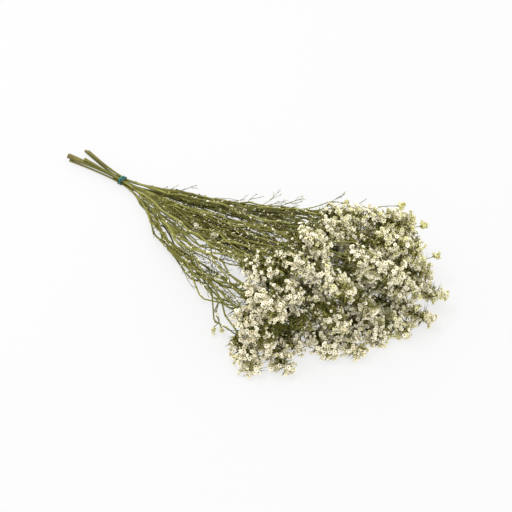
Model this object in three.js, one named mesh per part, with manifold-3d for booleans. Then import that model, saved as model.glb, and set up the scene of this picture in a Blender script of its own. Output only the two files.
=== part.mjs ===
// A bunch of dried statice lying down: six branching stems, sprays of papery florets and an elastic tie.
// Millimetres, +Z up. The stems run along +X from their cut ends, and the bunch lies on the plane Z = 0.
import * as THREE from "three";
import { mergeVertices } from "three/addons/utils/BufferGeometryUtils.js";
import Module from "manifold-3d";

const wasm = await Module();
wasm.setup();

// Driving dimensions of the whole bunch
const reach = 430; // from the tie to the far edge of the fan, at its middle
const reachLost = 66; // how much nearer that edge is at the two sides
const headThinning = 0.6; // share of the head's depth that its two edges lack
const fanHalfAngle = THREE.MathUtils.degToRad(22);
const headHeight = 74; // between the lowest and the highest row of sprays
const headStart = 300; // from the tie to where the fan has its full height
const roofDrop = 0.92; // how far the fan's cross-section is from a box, where 1 is half an ellipse
const lateRise = 1.4; // how late the fan gains its height, where 1 is evenly from the tie
const bundleHalfWidth = 4.5;
const bundleHeight = 8.4;
const straightAtTie = 9; // the stems run parallel this far either side of the tie
const seed = 11;
const groundSize = 2000;

// The outline of the head: place across the fan, how far short of its far edge the sprays end there
const shortfall = [
  [-1, 20],
  [-0.85, 16],
  [-0.72, 18],
  [-0.62, 36],
  [-0.54, 50],
  [-0.44, 50],
  [-0.36, 28],
  [-0.2, 24],
  [-0.05, 27],
  [0.1, 8],
  [0.28, -4],
  [0.46, -3],
  [0.68, 4],
  [1, 8],
];

// Sprays and florets
const coreRadius = 8.2;
const coreSides = 4;
const floretsPerSpray = 12;
const floretRadius = 8.8;
const floretHeight = 12.5;
const floretSeat = 4.6; // from the spray's axis to a floret's root, inside the core
const floretLean = { foot: 80, tip: 50 }; // degrees from the spray's axis
const smallestFloret = 0.5; // share of the full size, where the neighbours leave no more room
const floretLobes = 5;
const cupDepth = 0.62; // where the floor of the cup lies on the way from the floret's root to its rim
const pressedHeight = 7.2; // axis of a spray that is pressed flat against the ground
const clearance = 0.35; // between a twig and the spray that sits on it
const sprayGap = 0.4; // between neighbouring sprays
const sprayRoom = 29; // between the axes of neighbouring sprays, where there is room for it
const sprayReach = 24; // anything further than this from a spray's axis is clear of it

// Stems, branches and bare side twigs
const stemRadius = 1.3;
const tipRadius = 0.8; // of a branch where it enters its spray
const cutEndFlare = 1.45; // how much thicker a stem is at its cut end
const stemBends = 6;
const stemKink = 2.2; // how far each bend strays from the stem's line
const forkTries = 24;
const usualFork = 14; // degrees
const widestFork = 34; // degrees
const shortestBranch = 50;
const branchStep = 55; // between the bends of a branch
const twigRadius = 0.6;
const twigsPerStem = 11;
const twigTries = 200;
const twigLength = [24, 46];
const twigZone = [60, 300]; // distance from the tie between which bare twigs grow
const stemGap = 0.8; // between twigs of different stems
const seatedShare = 0.5; // how far up its spray a branch reaches

// Elastic tie: two turns, one upright and one slanted over it
const tieGap = 0.35; // between the elastic and the stems
const tieThickness = 0.7;
const tieWidth = 3;
const tieSlant = 0.45; // how far the slanted turn runs along the stems for each millimetre up
const tieSteps = 16;
const overTurnLift = tieThickness / 2; // how far outside the upright turn the slanted one lies

// Centre of the lowest stem where they are tied, so that the elastic lies on the ground
const bundleFloor = stemRadius + tieGap + tieThickness + overTurnLift;

// Each stem: its place across the fan and up it, its radius, how much wider than straight it spreads
// on its way, how far its cut end lies behind the tie, and how far that end strays sideways and up
const stemPlans = [
  { u: 0, h: 0.48, radius: 2.2, spread: 0, tail: 85, stray: [-10, 1] },
  { u: 0, h: 0, radius: stemRadius, spread: 0, tail: 15, stray: [0, -0.4] },
  { u: -0.61, h: 0.14, radius: 1.1, spread: 0.85, tail: 82, stray: [-8.5, -1.2] },
  { u: 0.61, h: 0.14, radius: stemRadius, spread: 0.45, tail: 80, stray: [11.5, 0] },
  { u: -0.55, h: 0.83, radius: 1.2, spread: 0.6, tail: 60, stray: [-3, 3] },
  { u: 0.55, h: 0.83, radius: stemRadius, spread: 0.1, tail: 72, stray: [9.5, -1.5] },
];

// Rows of sprays: how far short of the outline they end, their length, their height and their places
const sprayRows = [
  {
    setback: 0,
    length: 60,
    h: 0,
    across: [-0.84, -0.71, -0.56, -0.37, -0.21, -0.05, 0.1, 0.27, 0.46, 0.68, 0.93],
  },
  { setback: 12, length: 60, h: 0.46, across: [-0.78, -0.6, -0.3, -0.02, 0.25, 0.5, 0.8] },
  { setback: 26, length: 60, h: 0.92, across: [-0.7, -0.45, -0.18, 0.11, 0.4, 0.66] },
  { setback: 66, length: 56, h: 0, across: [-0.1, 0.35] },
  { setback: 60, length: 48, h: 0.5, across: [-0.72] },
  { setback: 94, length: 48, h: 0.55, across: [0.3, 0.6] },
  { setback: 72, length: 48, h: 0.95, across: [-0.6, -0.33, -0.05] },
  { setback: 98, length: 48, h: 0.95, across: [0.24, 0.51] },
  { setback: 82, length: 48, h: 0.6, across: [-0.4, -0.05] },
];

const colours = { stem: 0x7d7a3a, floret: 0xd9d0ac, tie: 0x2c8478 };

// Park and Miller's generator, so that every build draws the same numbers
function makeRandom(start) {
  let state = start;
  return () => {
    state = (state * 16807) % 2147483647;
    return (state - 1) / 2147483646;
  };
}
const random = makeRandom(seed);
const draw = (low, high) => low + (high - low) * random();

// A place in the bunch: distance from the tie, u from -1 to 1 across the fan, h from 0 to 1 up it
function place(distance, u, h) {
  const run = Math.max(0, distance - straightAtTie);
  const yaw = u * fanHalfAngle;
  const rise = Math.min(1, run / headStart) ** lateRise;
  const roof = Math.sqrt(1 - Math.min(0.95, roofDrop * u * u * rise));
  const height = bundleHeight + (headHeight - bundleHeight) * rise;
  return new THREE.Vector3(
    Math.min(distance, straightAtTie) + run * Math.cos(yaw),
    u * bundleHalfWidth + run * Math.sin(yaw),
    bundleFloor + (pressedHeight - bundleFloor) * rise + h * height * roof,
  );
}

// Geometry to solid and back
function toSolid(geometry) {
  const bare = new THREE.BufferGeometry().setAttribute("position", geometry.getAttribute("position"));
  if (geometry.index) bare.setIndex(geometry.index);
  const merged = mergeVertices(bare, 1e-4);
  const triVerts = [];
  for (let i = 0; i < merged.index.count; i += 3) {
    const [a, b, c] = [0, 1, 2].map((k) => merged.index.getX(i + k));
    if (a !== b && b !== c && c !== a) triVerts.push(a, b, c);
  }
  const mesh = { numProp: 3, vertProperties: merged.attributes.position.array };
  return new wasm.Manifold(new wasm.Mesh({ ...mesh, triVerts: new Uint32Array(triVerts) }));
}

function toGeometry(solid) {
  const { vertProperties, triVerts } = solid.getMesh();
  const geometry = new THREE.BufferGeometry();
  geometry.setAttribute("position", new THREE.BufferAttribute(vertProperties, 3));
  geometry.setIndex(new THREE.BufferAttribute(triVerts, 1));
  geometry.computeVertexNormals();
  return geometry;
}

function fuse(solids) {
  const joined = wasm.Manifold.union(solids);
  const bodies = joined.decompose();
  return bodies.reduce((best, body) => (body.volume() > best.volume() ? body : best));
}

// A closed tapered tube along points, one radius for each
function taperedTube(points, radii, sides) {
  const last = points.length - 1;
  const positions = [];
  const index = [];
  let side = null;
  points.forEach((point, i) => {
    const before = points[Math.max(0, i - 1)];
    const after = points[Math.min(last, i + 1)];
    const along = after.clone().sub(before).normalize();
    if (!side) side = Math.abs(along.z) < 0.9 ? new THREE.Vector3(0, 0, 1) : new THREE.Vector3(0, 1, 0);
    side = side.clone().addScaledVector(along, -side.dot(along)).normalize();
    const across = along.clone().cross(side);
    for (let k = 0; k < sides; k++) {
      const angle = (2 * Math.PI * k) / sides;
      const rim = point.clone().addScaledVector(side, radii[i] * Math.cos(angle));
      positions.push(...rim.addScaledVector(across, radii[i] * Math.sin(angle)).toArray());
    }
  });
  for (let i = 0; i < last; i++) {
    for (let k = 0; k < sides; k++) {
      const [a, b] = [i * sides + k, i * sides + ((k + 1) % sides)];
      index.push(a, b, a + sides, b, b + sides, a + sides);
    }
  }
  for (let k = 1; k < sides - 1; k++) {
    index.push(0, k + 1, k, last * sides, last * sides + k, last * sides + k + 1);
  }
  const geometry = new THREE.BufferGeometry();
  geometry.setAttribute("position", new THREE.Float32BufferAttribute(positions, 3));
  return geometry.setIndex(index);
}

// The points where two segments come closest, and how close
function closestPoints(a, b, c, d) {
  const [u, v, w] = [b.clone().sub(a), d.clone().sub(c), a.clone().sub(c)];
  const [uu, uv, vv, uw, vw] = [u.dot(u), u.dot(v), v.dot(v), u.dot(w), v.dot(w)];
  const slant = uu * vv - uv * uv;
  let s = slant > 1e-9 ? THREE.MathUtils.clamp((uv * vw - vv * uw) / slant, 0, 1) : 0;
  const t = THREE.MathUtils.clamp((uv * s + vw) / vv, 0, 1);
  s = THREE.MathUtils.clamp((uv * t - uw) / uu, 0, 1);
  const mine = a.clone().addScaledVector(u, s);
  const theirs = c.clone().addScaledVector(v, t);
  return { mine, theirs, gap: mine.distanceTo(theirs) };
}

const tipOf = (spray) => spray.base.clone().addScaledVector(spray.axis, spray.length);

// Sprays that stand too close push each other apart, and those on the ground stay on it
function spreadOut(sprays) {
  const homes = sprays.map((spray) => spray.base.clone());
  for (let round = 0; round < 16; round++) {
    sprays.forEach((spray, i) => {
      for (const other of sprays.slice(i + 1)) {
        const { mine, theirs, gap } = closestPoints(spray.base, tipOf(spray), other.base, tipOf(other));
        if (gap >= sprayRoom) continue;
        const push = theirs.sub(mine).normalize().multiplyScalar(0.3 * (sprayRoom - gap));
        spray.base.sub(push);
        other.base.add(push);
      }
    });
    sprays.forEach((spray, i) => {
      spray.base.lerp(homes[i], 0.2);
      if (spray.pressed) spray.base.z = pressedHeight;
    });
  }
}

function shortfallAt(u) {
  const next = shortfall.findIndex(([across]) => across > u);
  const [[before, from], [after, to]] = shortfall.slice(next - 1, next + 1);
  return THREE.MathUtils.mapLinear(u, before, after, from, to);
}

// Where every spray stands: its base, its axis and the stem that carries it
function planSprays() {
  const sprays = [];
  for (const row of sprayRows) {
    for (const across of row.across) {
      const u = across + draw(-0.02, 0.02);
      const h = row.h + (row.h ? draw(-0.06, 0.06) : 0);
      const length = row.length * draw(0.88, 1.12);
      const setback = row.setback * (1 - headThinning * u * u) + shortfallAt(u);
      const end = reach - reachLost * u * u - setback + draw(-5, 5);
      const base = place(end - length, u, h);
      const axis = place(end, u, h).sub(base).normalize();
      axis.y += 0.12 * u + draw(-0.12, 0.12);
      axis.z += row.h ? 0.2 * (h - 0.5) + draw(-0.08, 0.08) : 0;
      axis.normalize();
      sprays.push({ u, h, base, axis, length, pressed: row.h === 0, phase: draw(0, 2 * Math.PI) });
    }
  }
  spreadOut(sprays);
  for (const spray of sprays) {
    spray.distance = Math.hypot(spray.base.x, spray.base.y);
    const gap = (plan) => Math.hypot(150 * (plan.u - spray.u), 95 * (plan.h - spray.h));
    spray.stem = stemPlans.reduce((best, plan) => (gap(plan) < gap(best) ? plan : best));
  }
  return sprays;
}

// Points along a twig that leaves one place in one direction and reaches another place in another
function twigPath(from, leaving, to, arriving, steps, kink) {
  const length = from.distanceTo(to);
  const ease = 0.36 * length;
  const curve = new THREE.CubicBezierCurve3(
    from,
    from.clone().addScaledVector(leaving, ease),
    to.clone().addScaledVector(arriving, -ease),
    to,
  );
  const points = curve.getPoints(steps);
  for (let i = 1; i < steps; i++) {
    const bend = (i % 2 ? 1 : -1) * kink;
    points[i].add(new THREE.Vector3(0, bend, bend * 0.5));
  }
  return points;
}

// The least free space between a path and everything of the other stems, less what it needs
function freeSpace(points, radius, others) {
  let least = Infinity;
  for (let i = 0; i + 1 < points.length; i++) {
    for (const other of others) {
      if (Math.abs(other.a.x - points[i].x) > 90) continue;
      const { gap } = closestPoints(points[i], points[i + 1], other.a, other.b);
      least = Math.min(least, gap - radius - other.radius - other.gap);
    }
  }
  return least;
}

const asSegments = (branch, gap) =>
  branch.points.slice(1).map((b, i) => ({ a: branch.points[i], b, radius: branch.radii[i], gap }));

// The stem itself, from its cut end through the tie to its leading spray
function mainStem(plan, leader) {
  const points = [];
  const [strayY, strayZ] = plan.stray;
  for (const share of [1, 0.5]) {
    const point = place(-plan.tail * share, plan.u, plan.h);
    point.y += strayY * share ** 1.6;
    point.z += strayZ * share ** 1.6;
    points.push(point);
  }
  points.push(place(-straightAtTie, plan.u, plan.h), place(straightAtTie, plan.u, plan.h));
  for (let i = 1; i <= stemBends; i++) {
    const share = i / stemBends;
    const distance = straightAtTie + (leader.distance - straightAtTie) * share;
    const ease = share * share;
    const spread = 1 + plan.spread * Math.sin(Math.PI * share);
    const u = THREE.MathUtils.lerp(plan.u * spread, leader.u, ease);
    const h = THREE.MathUtils.lerp(plan.h, leader.h, ease);
    const point = place(distance, u, h);
    if (i < stemBends) point.y += (i % 2 ? 1 : -1) * stemKink;
    points.push(point);
  }
  points.push(leader.base.clone().addScaledVector(leader.axis, leader.length * seatedShare));
  const taper = points.map((_, i) => Math.max(0, (i - 3) / (points.length - 4)));
  const radii = taper.map((share) => THREE.MathUtils.lerp(plan.radius, tipRadius, share ** 0.8));
  radii[0] *= cutEndFlare;
  return { points, radii, sides: 5, depth: 0 };
}

// A branch from the best fork on what has grown so far to the foot of a spray
function growBranch(spray, grown, others) {
  let best = null;
  for (let attempt = 0; attempt < forkTries; attempt++) {
    const wanted = draw(24, 0.62 * spray.distance);
    const kink = draw(0.5, 1.6) * (attempt % 2 ? 1 : -1);
    let fork = null;
    for (const branch of grown) {
      for (let i = 1; i + 1 < branch.points.length; i++) {
        for (const share of [0.1, 0.5, 0.9]) {
          const point = branch.points[i].clone().lerp(branch.points[i + 1], share);
          const along = branch.points[i + 1].clone().sub(branch.points[i]).normalize();
          const towards = spray.base.clone().sub(point);
          const angle = THREE.MathUtils.radToDeg(along.angleTo(towards));
          const tooShort = towards.length() < shortestBranch;
          if (tooShort || angle > widestFork || point.x < straightAtTie + 6) continue;
          const cost = Math.abs(point.x - wanted) + 1.2 * Math.abs(angle - usualFork) + 26 * branch.depth;
          if (!fork || cost < fork.cost) fork = { cost, point, along, towards, depth: branch.depth + 1 };
        }
      }
    }
    const leaving = fork.along.lerp(fork.towards.normalize(), 0.55).normalize();
    const steps = Math.max(3, Math.round(fork.point.distanceTo(spray.base) / branchStep));
    const points = twigPath(fork.point, leaving, spray.base, spray.axis, steps, kink);
    points.push(spray.base.clone().addScaledVector(spray.axis, spray.length * seatedShare));
    const space = freeSpace(points, tipRadius * 1.5, others);
    if (!best || space > best.space) best = { space, points, depth: fork.depth };
    if (space > 0) break;
  }
  const last = best.points.length - 1;
  const root = tipRadius * (best.depth > 1 ? 1.35 : 1.7);
  const radii = best.points.map((_, i) => THREE.MathUtils.lerp(root, tipRadius, i / last));
  return { ...best, radii, sides: best.depth > 1 ? 3 : 4 };
}

// Short side twigs with nothing on them, which stay clear of every other stem and spray
function growTwigs(grown, others) {
  const twigs = [];
  for (let attempt = 0; attempt < twigTries && twigs.length < twigsPerStem; attempt++) {
    const branch = grown[Math.floor(draw(0, grown.length))];
    const i = 1 + Math.floor(draw(0, branch.points.length - 3));
    const from = branch.points[i].clone().lerp(branch.points[i + 1], draw(0.1, 0.9));
    const along = branch.points[i + 1].clone().sub(branch.points[i]).normalize();
    const turn = draw(0, 2 * Math.PI);
    const length = draw(...twigLength);
    if (from.x < twigZone[0] || from.x > twigZone[1]) continue;
    const aside = new THREE.Vector3(0, Math.cos(turn), 0.7 * Math.sin(turn));
    const leaving = along.clone().addScaledVector(aside, 0.75).normalize();
    const to = from.clone().addScaledVector(leaving, length * 0.8).addScaledVector(along, length * 0.25);
    const points = twigPath(from, leaving, to, along, 2, 0);
    if (to.z < 2 || freeSpace(points, twigRadius, others) < 0) continue;
    twigs.push({ points, radii: [twigRadius * 1.3, twigRadius * 1.1, twigRadius], sides: 3, depth: 9 });
  }
  return twigs;
}

const sprays = planSprays();
const sprayLines = sprays.map((spray) => ({
  a: spray.base,
  b: tipOf(spray),
  radius: coreRadius,
  gap: 4,
  spray,
}));

const stems = stemPlans.map((plan) => {
  const carried = sprays.filter((spray) => spray.stem === plan);
  const offset = (spray) => 420 * Math.hypot(0.45 * (spray.u - plan.u), 0.25 * (spray.h - plan.h));
  carried.sort((a, b) => offset(a) - a.distance - (offset(b) - b.distance));
  return { plan, carried, branches: [mainStem(plan, carried[0])] };
});
const taken = stems.flatMap((stem) => asSegments(stem.branches[0], stemGap).map((s) => ({ ...s, stem })));
for (const stem of stems) {
  for (const spray of stem.carried.slice(1)) {
    const inTheWay = sprayLines.filter((line) => line.spray !== spray);
    const others = [...taken.filter((segment) => segment.stem !== stem), ...inTheWay];
    const branch = growBranch(spray, stem.branches, others);
    stem.branches.push(branch);
    taken.push(...asSegments(branch, stemGap).map((segment) => ({ ...segment, stem })));
  }
}
for (const stem of stems) {
  const others = [...taken.filter((segment) => segment.stem !== stem), ...sprayLines];
  const twigs = growTwigs(stem.branches, others);
  stem.branches.push(...twigs);
  taken.push(...twigs.flatMap((twig) => asSegments(twig, stemGap)).map((s) => ({ ...s, stem })));
}

// One floret: a funnel from its root to a rim of five points, with the floor of the cup sunk below the rim
function floretGeometry(radius, height) {
  const points = [new THREE.Vector3(0, 0, 0), new THREE.Vector3(0, 0, height * cupDepth)];
  const index = [];
  for (let k = 0; k < floretLobes; k++) {
    const angle = (2 * Math.PI * k) / floretLobes;
    const [here, next] = [2 + k, 2 + ((k + 1) % floretLobes)];
    points.push(new THREE.Vector3(radius * Math.cos(angle), radius * Math.sin(angle), height));
    index.push(1, here, next, 0, next, here);
  }
  return new THREE.BufferGeometry().setFromPoints(points).setIndex(index);
}

// The planes halfway to each neighbouring spray, which keep the two apart
function partings(line) {
  const planes = [];
  for (const other of sprayLines) {
    if (other === line || other.a.distanceTo(line.a) > 110) continue;
    const { mine, theirs } = closestPoints(line.a, line.b, other.a, other.b);
    const normal = theirs.clone().sub(mine).normalize();
    const middle = mine.add(theirs).multiplyScalar(0.5).addScaledVector(normal, -sprayGap / 2);
    planes.push(new THREE.Plane().setFromNormalAndCoplanarPoint(normal, middle));
  }
  return planes;
}

function staysIn(geometry, planes) {
  const position = geometry.getAttribute("position");
  const point = new THREE.Vector3();
  for (let i = 0; i < position.count; i++) {
    point.fromBufferAttribute(position, i);
    if (planes.some((plane) => plane.distanceToPoint(point) > 0)) return false;
  }
  return true;
}

// The largest of the sizes from 1 down to smallest whose shape stays between the planes, or nothing
function fitBetween(planes, smallest, makeShape) {
  for (let size = 1; size >= smallest; size -= 0.06) {
    const shape = makeShape(size);
    if (staysIn(shape, planes)) return [toSolid(shape)];
  }
  return [];
}

// A spray in the bunch's frame: a slim core with florets set round it by the golden angle
function spraySolid(spray, frame, planes) {
  const profile = [[0, 0], [coreRadius, 0.3], [coreRadius * 0.9, 0.68], [0, 1]];
  const solids = fitBetween(planes, 0.2, (size) => {
    const outline = profile.map(([radius, share]) => {
      return new THREE.Vector2(radius * size, share * spray.length);
    });
    return new THREE.LatheGeometry(outline, coreSides).rotateX(Math.PI / 2).applyMatrix4(frame);
  });
  const golden = Math.PI * (3 - Math.sqrt(5));
  for (let k = 0; k < floretsPerSpray; k++) {
    const share = (k + 0.5) / floretsPerSpray;
    const degrees = THREE.MathUtils.lerp(floretLean.foot, floretLean.tip, share);
    const lean = k + 1 < floretsPerSpray ? THREE.MathUtils.degToRad(degrees) : 0;
    const turn = new THREE.Euler(0, lean, spray.phase + golden * k, "ZYX");
    const root = new THREE.Vector3(0, 0, floretSeat).applyEuler(turn);
    root.z += spray.length * (0.1 + 0.74 * share);
    const seat = new THREE.Matrix4().makeRotationFromEuler(turn).setPosition(root).premultiply(frame);
    const floret = fitBetween(planes, smallestFloret, (size) => {
      const radius = floretRadius * size * (1 - 0.2 * share);
      return floretGeometry(radius, floretHeight * size).applyMatrix4(seat);
    });
    solids.push(...floret);
  }
  return fuse(solids);
}

// The outline of the tied stems, looked at along them, at some distance outside their skin
function bundleOutline(distance) {
  const points = [];
  for (let k = 0; k < tieSteps; k++) {
    const angle = (2 * Math.PI * k) / tieSteps;
    const outward = new THREE.Vector3(0, Math.cos(angle), Math.sin(angle));
    const outermost = stemPlans.map((plan) => {
      return place(0, plan.u, plan.h).addScaledVector(outward, plan.radius + distance);
    });
    points.push(outermost.reduce((best, point) => (point.dot(outward) > best.dot(outward) ? point : best)));
  }
  return points;
}

// One turn of elastic round the stems, with a flat section and a slant along them
function elasticTurn(slant, lift) {
  const inner = bundleOutline(tieGap + lift);
  const outer = bundleOutline(tieGap + lift + tieThickness);
  const middle = bundleFloor + bundleHeight / 2;
  const points = [];
  for (let k = 0; k < tieSteps; k++) {
    const ring = [[inner, -1], [outer, -1], [outer, 1], [inner, 1]];
    for (const [outline, side] of ring) {
      const point = outline[k].clone();
      point.x = (side * tieWidth) / 2 + slant * (point.z - middle);
      points.push(point);
    }
  }
  const index = [];
  for (let k = 0; k < tieSteps; k++) {
    const next = (k + 1) % tieSteps;
    for (let i = 0; i < 4; i++) {
      const [a, b] = [4 * k + i, 4 * k + ((i + 1) % 4)];
      const [c, d] = [4 * next + i, 4 * next + ((i + 1) % 4)];
      index.push(a, c, b, b, c, d);
    }
  }
  return new THREE.BufferGeometry().setFromPoints(points).setIndex(index);
}

const bunch = new THREE.Group();
bunch.name = "dried_statice_bunch";

function addMesh(name, geometry, colour, roughness) {
  const material = new THREE.MeshStandardMaterial({ color: colour, roughness, metalness: 0 });
  const mesh = new THREE.Mesh(geometry, material);
  mesh.name = name;
  bunch.add(mesh);
  return mesh;
}

// Everything below the ground plane is pressed away
const ground = toSolid(new THREE.BoxGeometry(groundSize, groundSize, 200).translate(0, 0, -100));

stems.forEach((stem, i) => {
  const tubes = stem.branches.map((b) => toSolid(taperedTube(b.points, b.radii, b.sides)));
  const solid = fuse(tubes).subtract(ground);
  addMesh("stem_" + (i + 1), toGeometry(solid), colours.stem, 0.8);
});

sprays.forEach((spray, i) => {
  const turn = new THREE.Quaternion().setFromUnitVectors(new THREE.Vector3(0, 0, 1), spray.axis);
  const frame = new THREE.Matrix4().compose(spray.base, turn, new THREE.Vector3(1, 1, 1));
  const line = sprayLines[i];
  const sockets = [];
  for (const stem of stems) {
    for (const branch of stem.branches) {
      const gapTo = (segment) => closestPoints(segment.a, segment.b, line.a, line.b).gap;
      if (asSegments(branch, 0).every((segment) => gapTo(segment) > sprayReach)) continue;
      const points = branch.points.map((point) => point.clone());
      const last = points.length - 1;
      const onward = points[last].clone().sub(points[last - 1]).normalize();
      points[last].addScaledVector(onward, clearance);
      const radii = branch.radii.map((radius) => (radius + clearance) / Math.cos(Math.PI / branch.sides));
      sockets.push(toSolid(taperedTube(points, radii, branch.sides)));
    }
  }
  const whole = spraySolid(spray, frame, partings(line)).subtract(ground);
  const solid = fuse([sockets.length ? whole.subtract(wasm.Manifold.union(sockets)) : whole]);
  const mesh = addMesh("spray_" + (i + 1), toGeometry(solid), colours.floret, 0.85);
  mesh.geometry.applyMatrix4(frame.clone().invert());
  mesh.position.copy(spray.base);
  mesh.quaternion.copy(turn);
});

const tie = fuse([toSolid(elasticTurn(0, 0)), toSolid(elasticTurn(tieSlant, overTurnLift))]);
addMesh("tie", toGeometry(tie), colours.tie, 0.6);

// The origin goes to the middle of the bunch, on the ground
const group = new THREE.Group();
group.add(bunch);
const middle = new THREE.Box3().setFromObject(bunch, true).getCenter(new THREE.Vector3());
bunch.position.set(-middle.x, -middle.y, 0);

export default group;
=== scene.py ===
# Looks of the dried statice bunch. The stems run along +X towards the heads, and the bunch lies on Z = 0.
# Growth is worked out in millimetres from the tie, and every mesh is made in metres in the frame's own place.
import functools
import math

import bpy
import numpy as np
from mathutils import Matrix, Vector


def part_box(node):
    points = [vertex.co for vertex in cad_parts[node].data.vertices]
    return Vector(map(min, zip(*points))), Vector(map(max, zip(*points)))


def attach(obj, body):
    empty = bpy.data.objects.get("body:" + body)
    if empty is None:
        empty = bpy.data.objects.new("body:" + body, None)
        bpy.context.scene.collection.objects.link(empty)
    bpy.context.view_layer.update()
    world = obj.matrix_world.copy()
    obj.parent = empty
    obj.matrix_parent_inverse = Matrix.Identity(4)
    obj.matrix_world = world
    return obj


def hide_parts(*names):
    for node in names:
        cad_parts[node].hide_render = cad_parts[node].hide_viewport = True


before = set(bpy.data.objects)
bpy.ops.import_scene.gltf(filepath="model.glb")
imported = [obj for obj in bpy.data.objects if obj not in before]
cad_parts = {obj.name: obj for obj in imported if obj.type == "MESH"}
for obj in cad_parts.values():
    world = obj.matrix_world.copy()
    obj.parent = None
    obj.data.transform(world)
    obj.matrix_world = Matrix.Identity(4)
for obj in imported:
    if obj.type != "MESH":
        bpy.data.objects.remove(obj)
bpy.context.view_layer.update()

print("frame loaded with", len(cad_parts), "nodes")

mm = 0.001


# The plan of the bunch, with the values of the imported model

bunch = {
    "reach": 430,  # from the tie to where the middle sprays end
    "reachLost": 66,  # how much sooner the sprays at the two edges end
    "headThinning": 0.6,
    "fanHalfAngle": math.radians(22),
    "headHeight": 74,
    "headStart": 300,
    "roofDrop": 0.92,
    "lateRise": 1.4,
    "tiedHalfWidth": 4.5,
    "tiedHeight": 8.4,
    "straightAtTie": 9,
    "seed": 11,
}

sprays = {
    "clusters": 12,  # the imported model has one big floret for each
    "clusterSeat": 4.6,
    "leanFoot": 80,  # degrees from the spray's axis
    "leanTip": 50,
    "pressedHeight": 7.2,
    "room": 29,
    "pushes": 16,
    "pushShare": 0.3,  # of the room that two sprays lack
    "homeShare": 0.2,  # of the way back to its own place that a spray goes after each push
    "coreRadius": 8.2,
    "coreGap": 4,
    "strayAcross": 0.02,
    "strayUp": 0.06,
    "strayEnd": 5,
    "lengthShare": (0.88, 1.12),
    "turn": (0.12, 0.2),  # outward at the edges of the fan, upward at its top
    "strayTurn": (0.12, 0.08),
    "shortfall": [  # place across the fan, how far short of its edge the sprays end there
        (-1, 20), (-0.85, 16), (-0.72, 18), (-0.62, 36), (-0.54, 50), (-0.44, 50), (-0.36, 28),
        (-0.2, 24), (-0.05, 27), (0.1, 8), (0.28, -4), (0.46, -3), (0.68, 4), (1, 8),
    ],
    "rows": [  # setback from the outline, length, height, places across the fan
        (0, 60, 0, [-0.84, -0.71, -0.56, -0.37, -0.21, -0.05, 0.1, 0.27, 0.46, 0.68, 0.93]),
        (12, 60, 0.46, [-0.78, -0.6, -0.3, -0.02, 0.25, 0.5, 0.8]),
        (26, 60, 0.92, [-0.7, -0.45, -0.18, 0.11, 0.4, 0.66]),
        (66, 56, 0, [-0.1, 0.35]),
        (60, 48, 0.5, [-0.72]),
        (94, 48, 0.55, [0.3, 0.6]),
        (72, 48, 0.95, [-0.6, -0.33, -0.05]),
        (98, 48, 0.95, [0.24, 0.51]),
        (82, 48, 0.6, [-0.4, -0.05]),
    ],
}

stems = {
    "radius": 1.3,
    "tipRadius": 0.8,
    "cutEndFlare": 1.45,
    "taper": 0.8,
    "tailCurve": 1.6,
    "bends": 6,
    "kink": 2.2,
    "apart": (150, 95),  # of a step across the fan and up it, when sprays are shared out among the stems
    "leadApart": (189, 105),  # the same when a stem chooses the spray that it leads to
    "ease": 0.36,
    "forkTries": 24,
    "forkPlaces": (0.1, 0.5, 0.9),  # of each stretch of a branch
    "forkFrom": 15,
    "forkZone": (24, 0.62),  # millimetres from the tie, share of the spray's distance
    "usualFork": 14,
    "widestFork": 34,
    "angleCost": 1.2,
    "depthCost": 26,
    "shortestBranch": 50,
    "branchStep": 55,
    "branchKink": (0.5, 1.6),
    "branchTurn": 0.55,
    "rootWidening": (1.7, 1.35),  # where a branch leaves the stem, where it leaves another branch
    "branchRoom": 1.5,  # of its radius
    "roomReach": 90,
    "gap": 0.8,
    "seatedShare": 0.5,
    "plans": [  # u, h, radius, spread, tail, stray sideways, stray up
        (0, 0.48, 2.2, 0, 85, -10, 1),
        (0, 0, 1.3, 0, 15, 0, -0.4),
        (-0.61, 0.14, 1.1, 0.85, 82, -8.5, -1.2),
        (0.61, 0.14, 1.3, 0.45, 80, 11.5, 0),
        (-0.55, 0.83, 1.2, 0.6, 60, -3, 3),
        (0.55, 0.83, 1.3, 0.1, 72, 9.5, -1.5),
    ],
}

tie = {
    "gap": 0.35,
    "thickness": 0.7,
    "width": 3,
    "slant": 0.45,
    "steps": 16,
    "lift": 0.35,  # how far outside the upright turn the slanted one lies
}

bundleFloor = stems["radius"] + tie["gap"] + tie["thickness"] + tie["lift"]


# Growth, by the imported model's rule and with its draws

def makeRandom(start):
    state = start

    def nextShare():
        nonlocal state
        state = state * 16807 % 2147483647
        return (state - 1) / 2147483646

    return nextShare


nextShare = makeRandom(bunch["seed"])


def draw(low, high):
    return low + (high - low) * nextShare()


def drawWithin(reach):
    return draw(-reach, reach)


def lerp(a, b, share):
    return (1 - share) * a + share * b


def dot(a, b):
    return (a * b).sum(-1, keepdims=True)


def unit(vector):
    return vector / np.linalg.norm(vector, axis=-1, keepdims=True)


def fromTable(value, table):  # rows of a place and what holds there
    return np.interp(value, *zip(*table))


def place(distance, u, h):  # distance from the tie, u from -1 to 1 across the fan, h from 0 to 1 up it
    run = max(0, distance - bunch["straightAtTie"])
    yaw = u * bunch["fanHalfAngle"]
    rise = min(1, run / bunch["headStart"]) ** bunch["lateRise"]
    roof = math.sqrt(1 - min(0.95, bunch["roofDrop"] * u * u * rise))
    height = lerp(bunch["tiedHeight"], bunch["headHeight"], rise)
    return np.array([
        min(distance, bunch["straightAtTie"]) + run * math.cos(yaw),
        u * bunch["tiedHalfWidth"] + run * math.sin(yaw),
        lerp(bundleFloor, sprays["pressedHeight"], rise) + h * height * roof,
    ])


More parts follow.
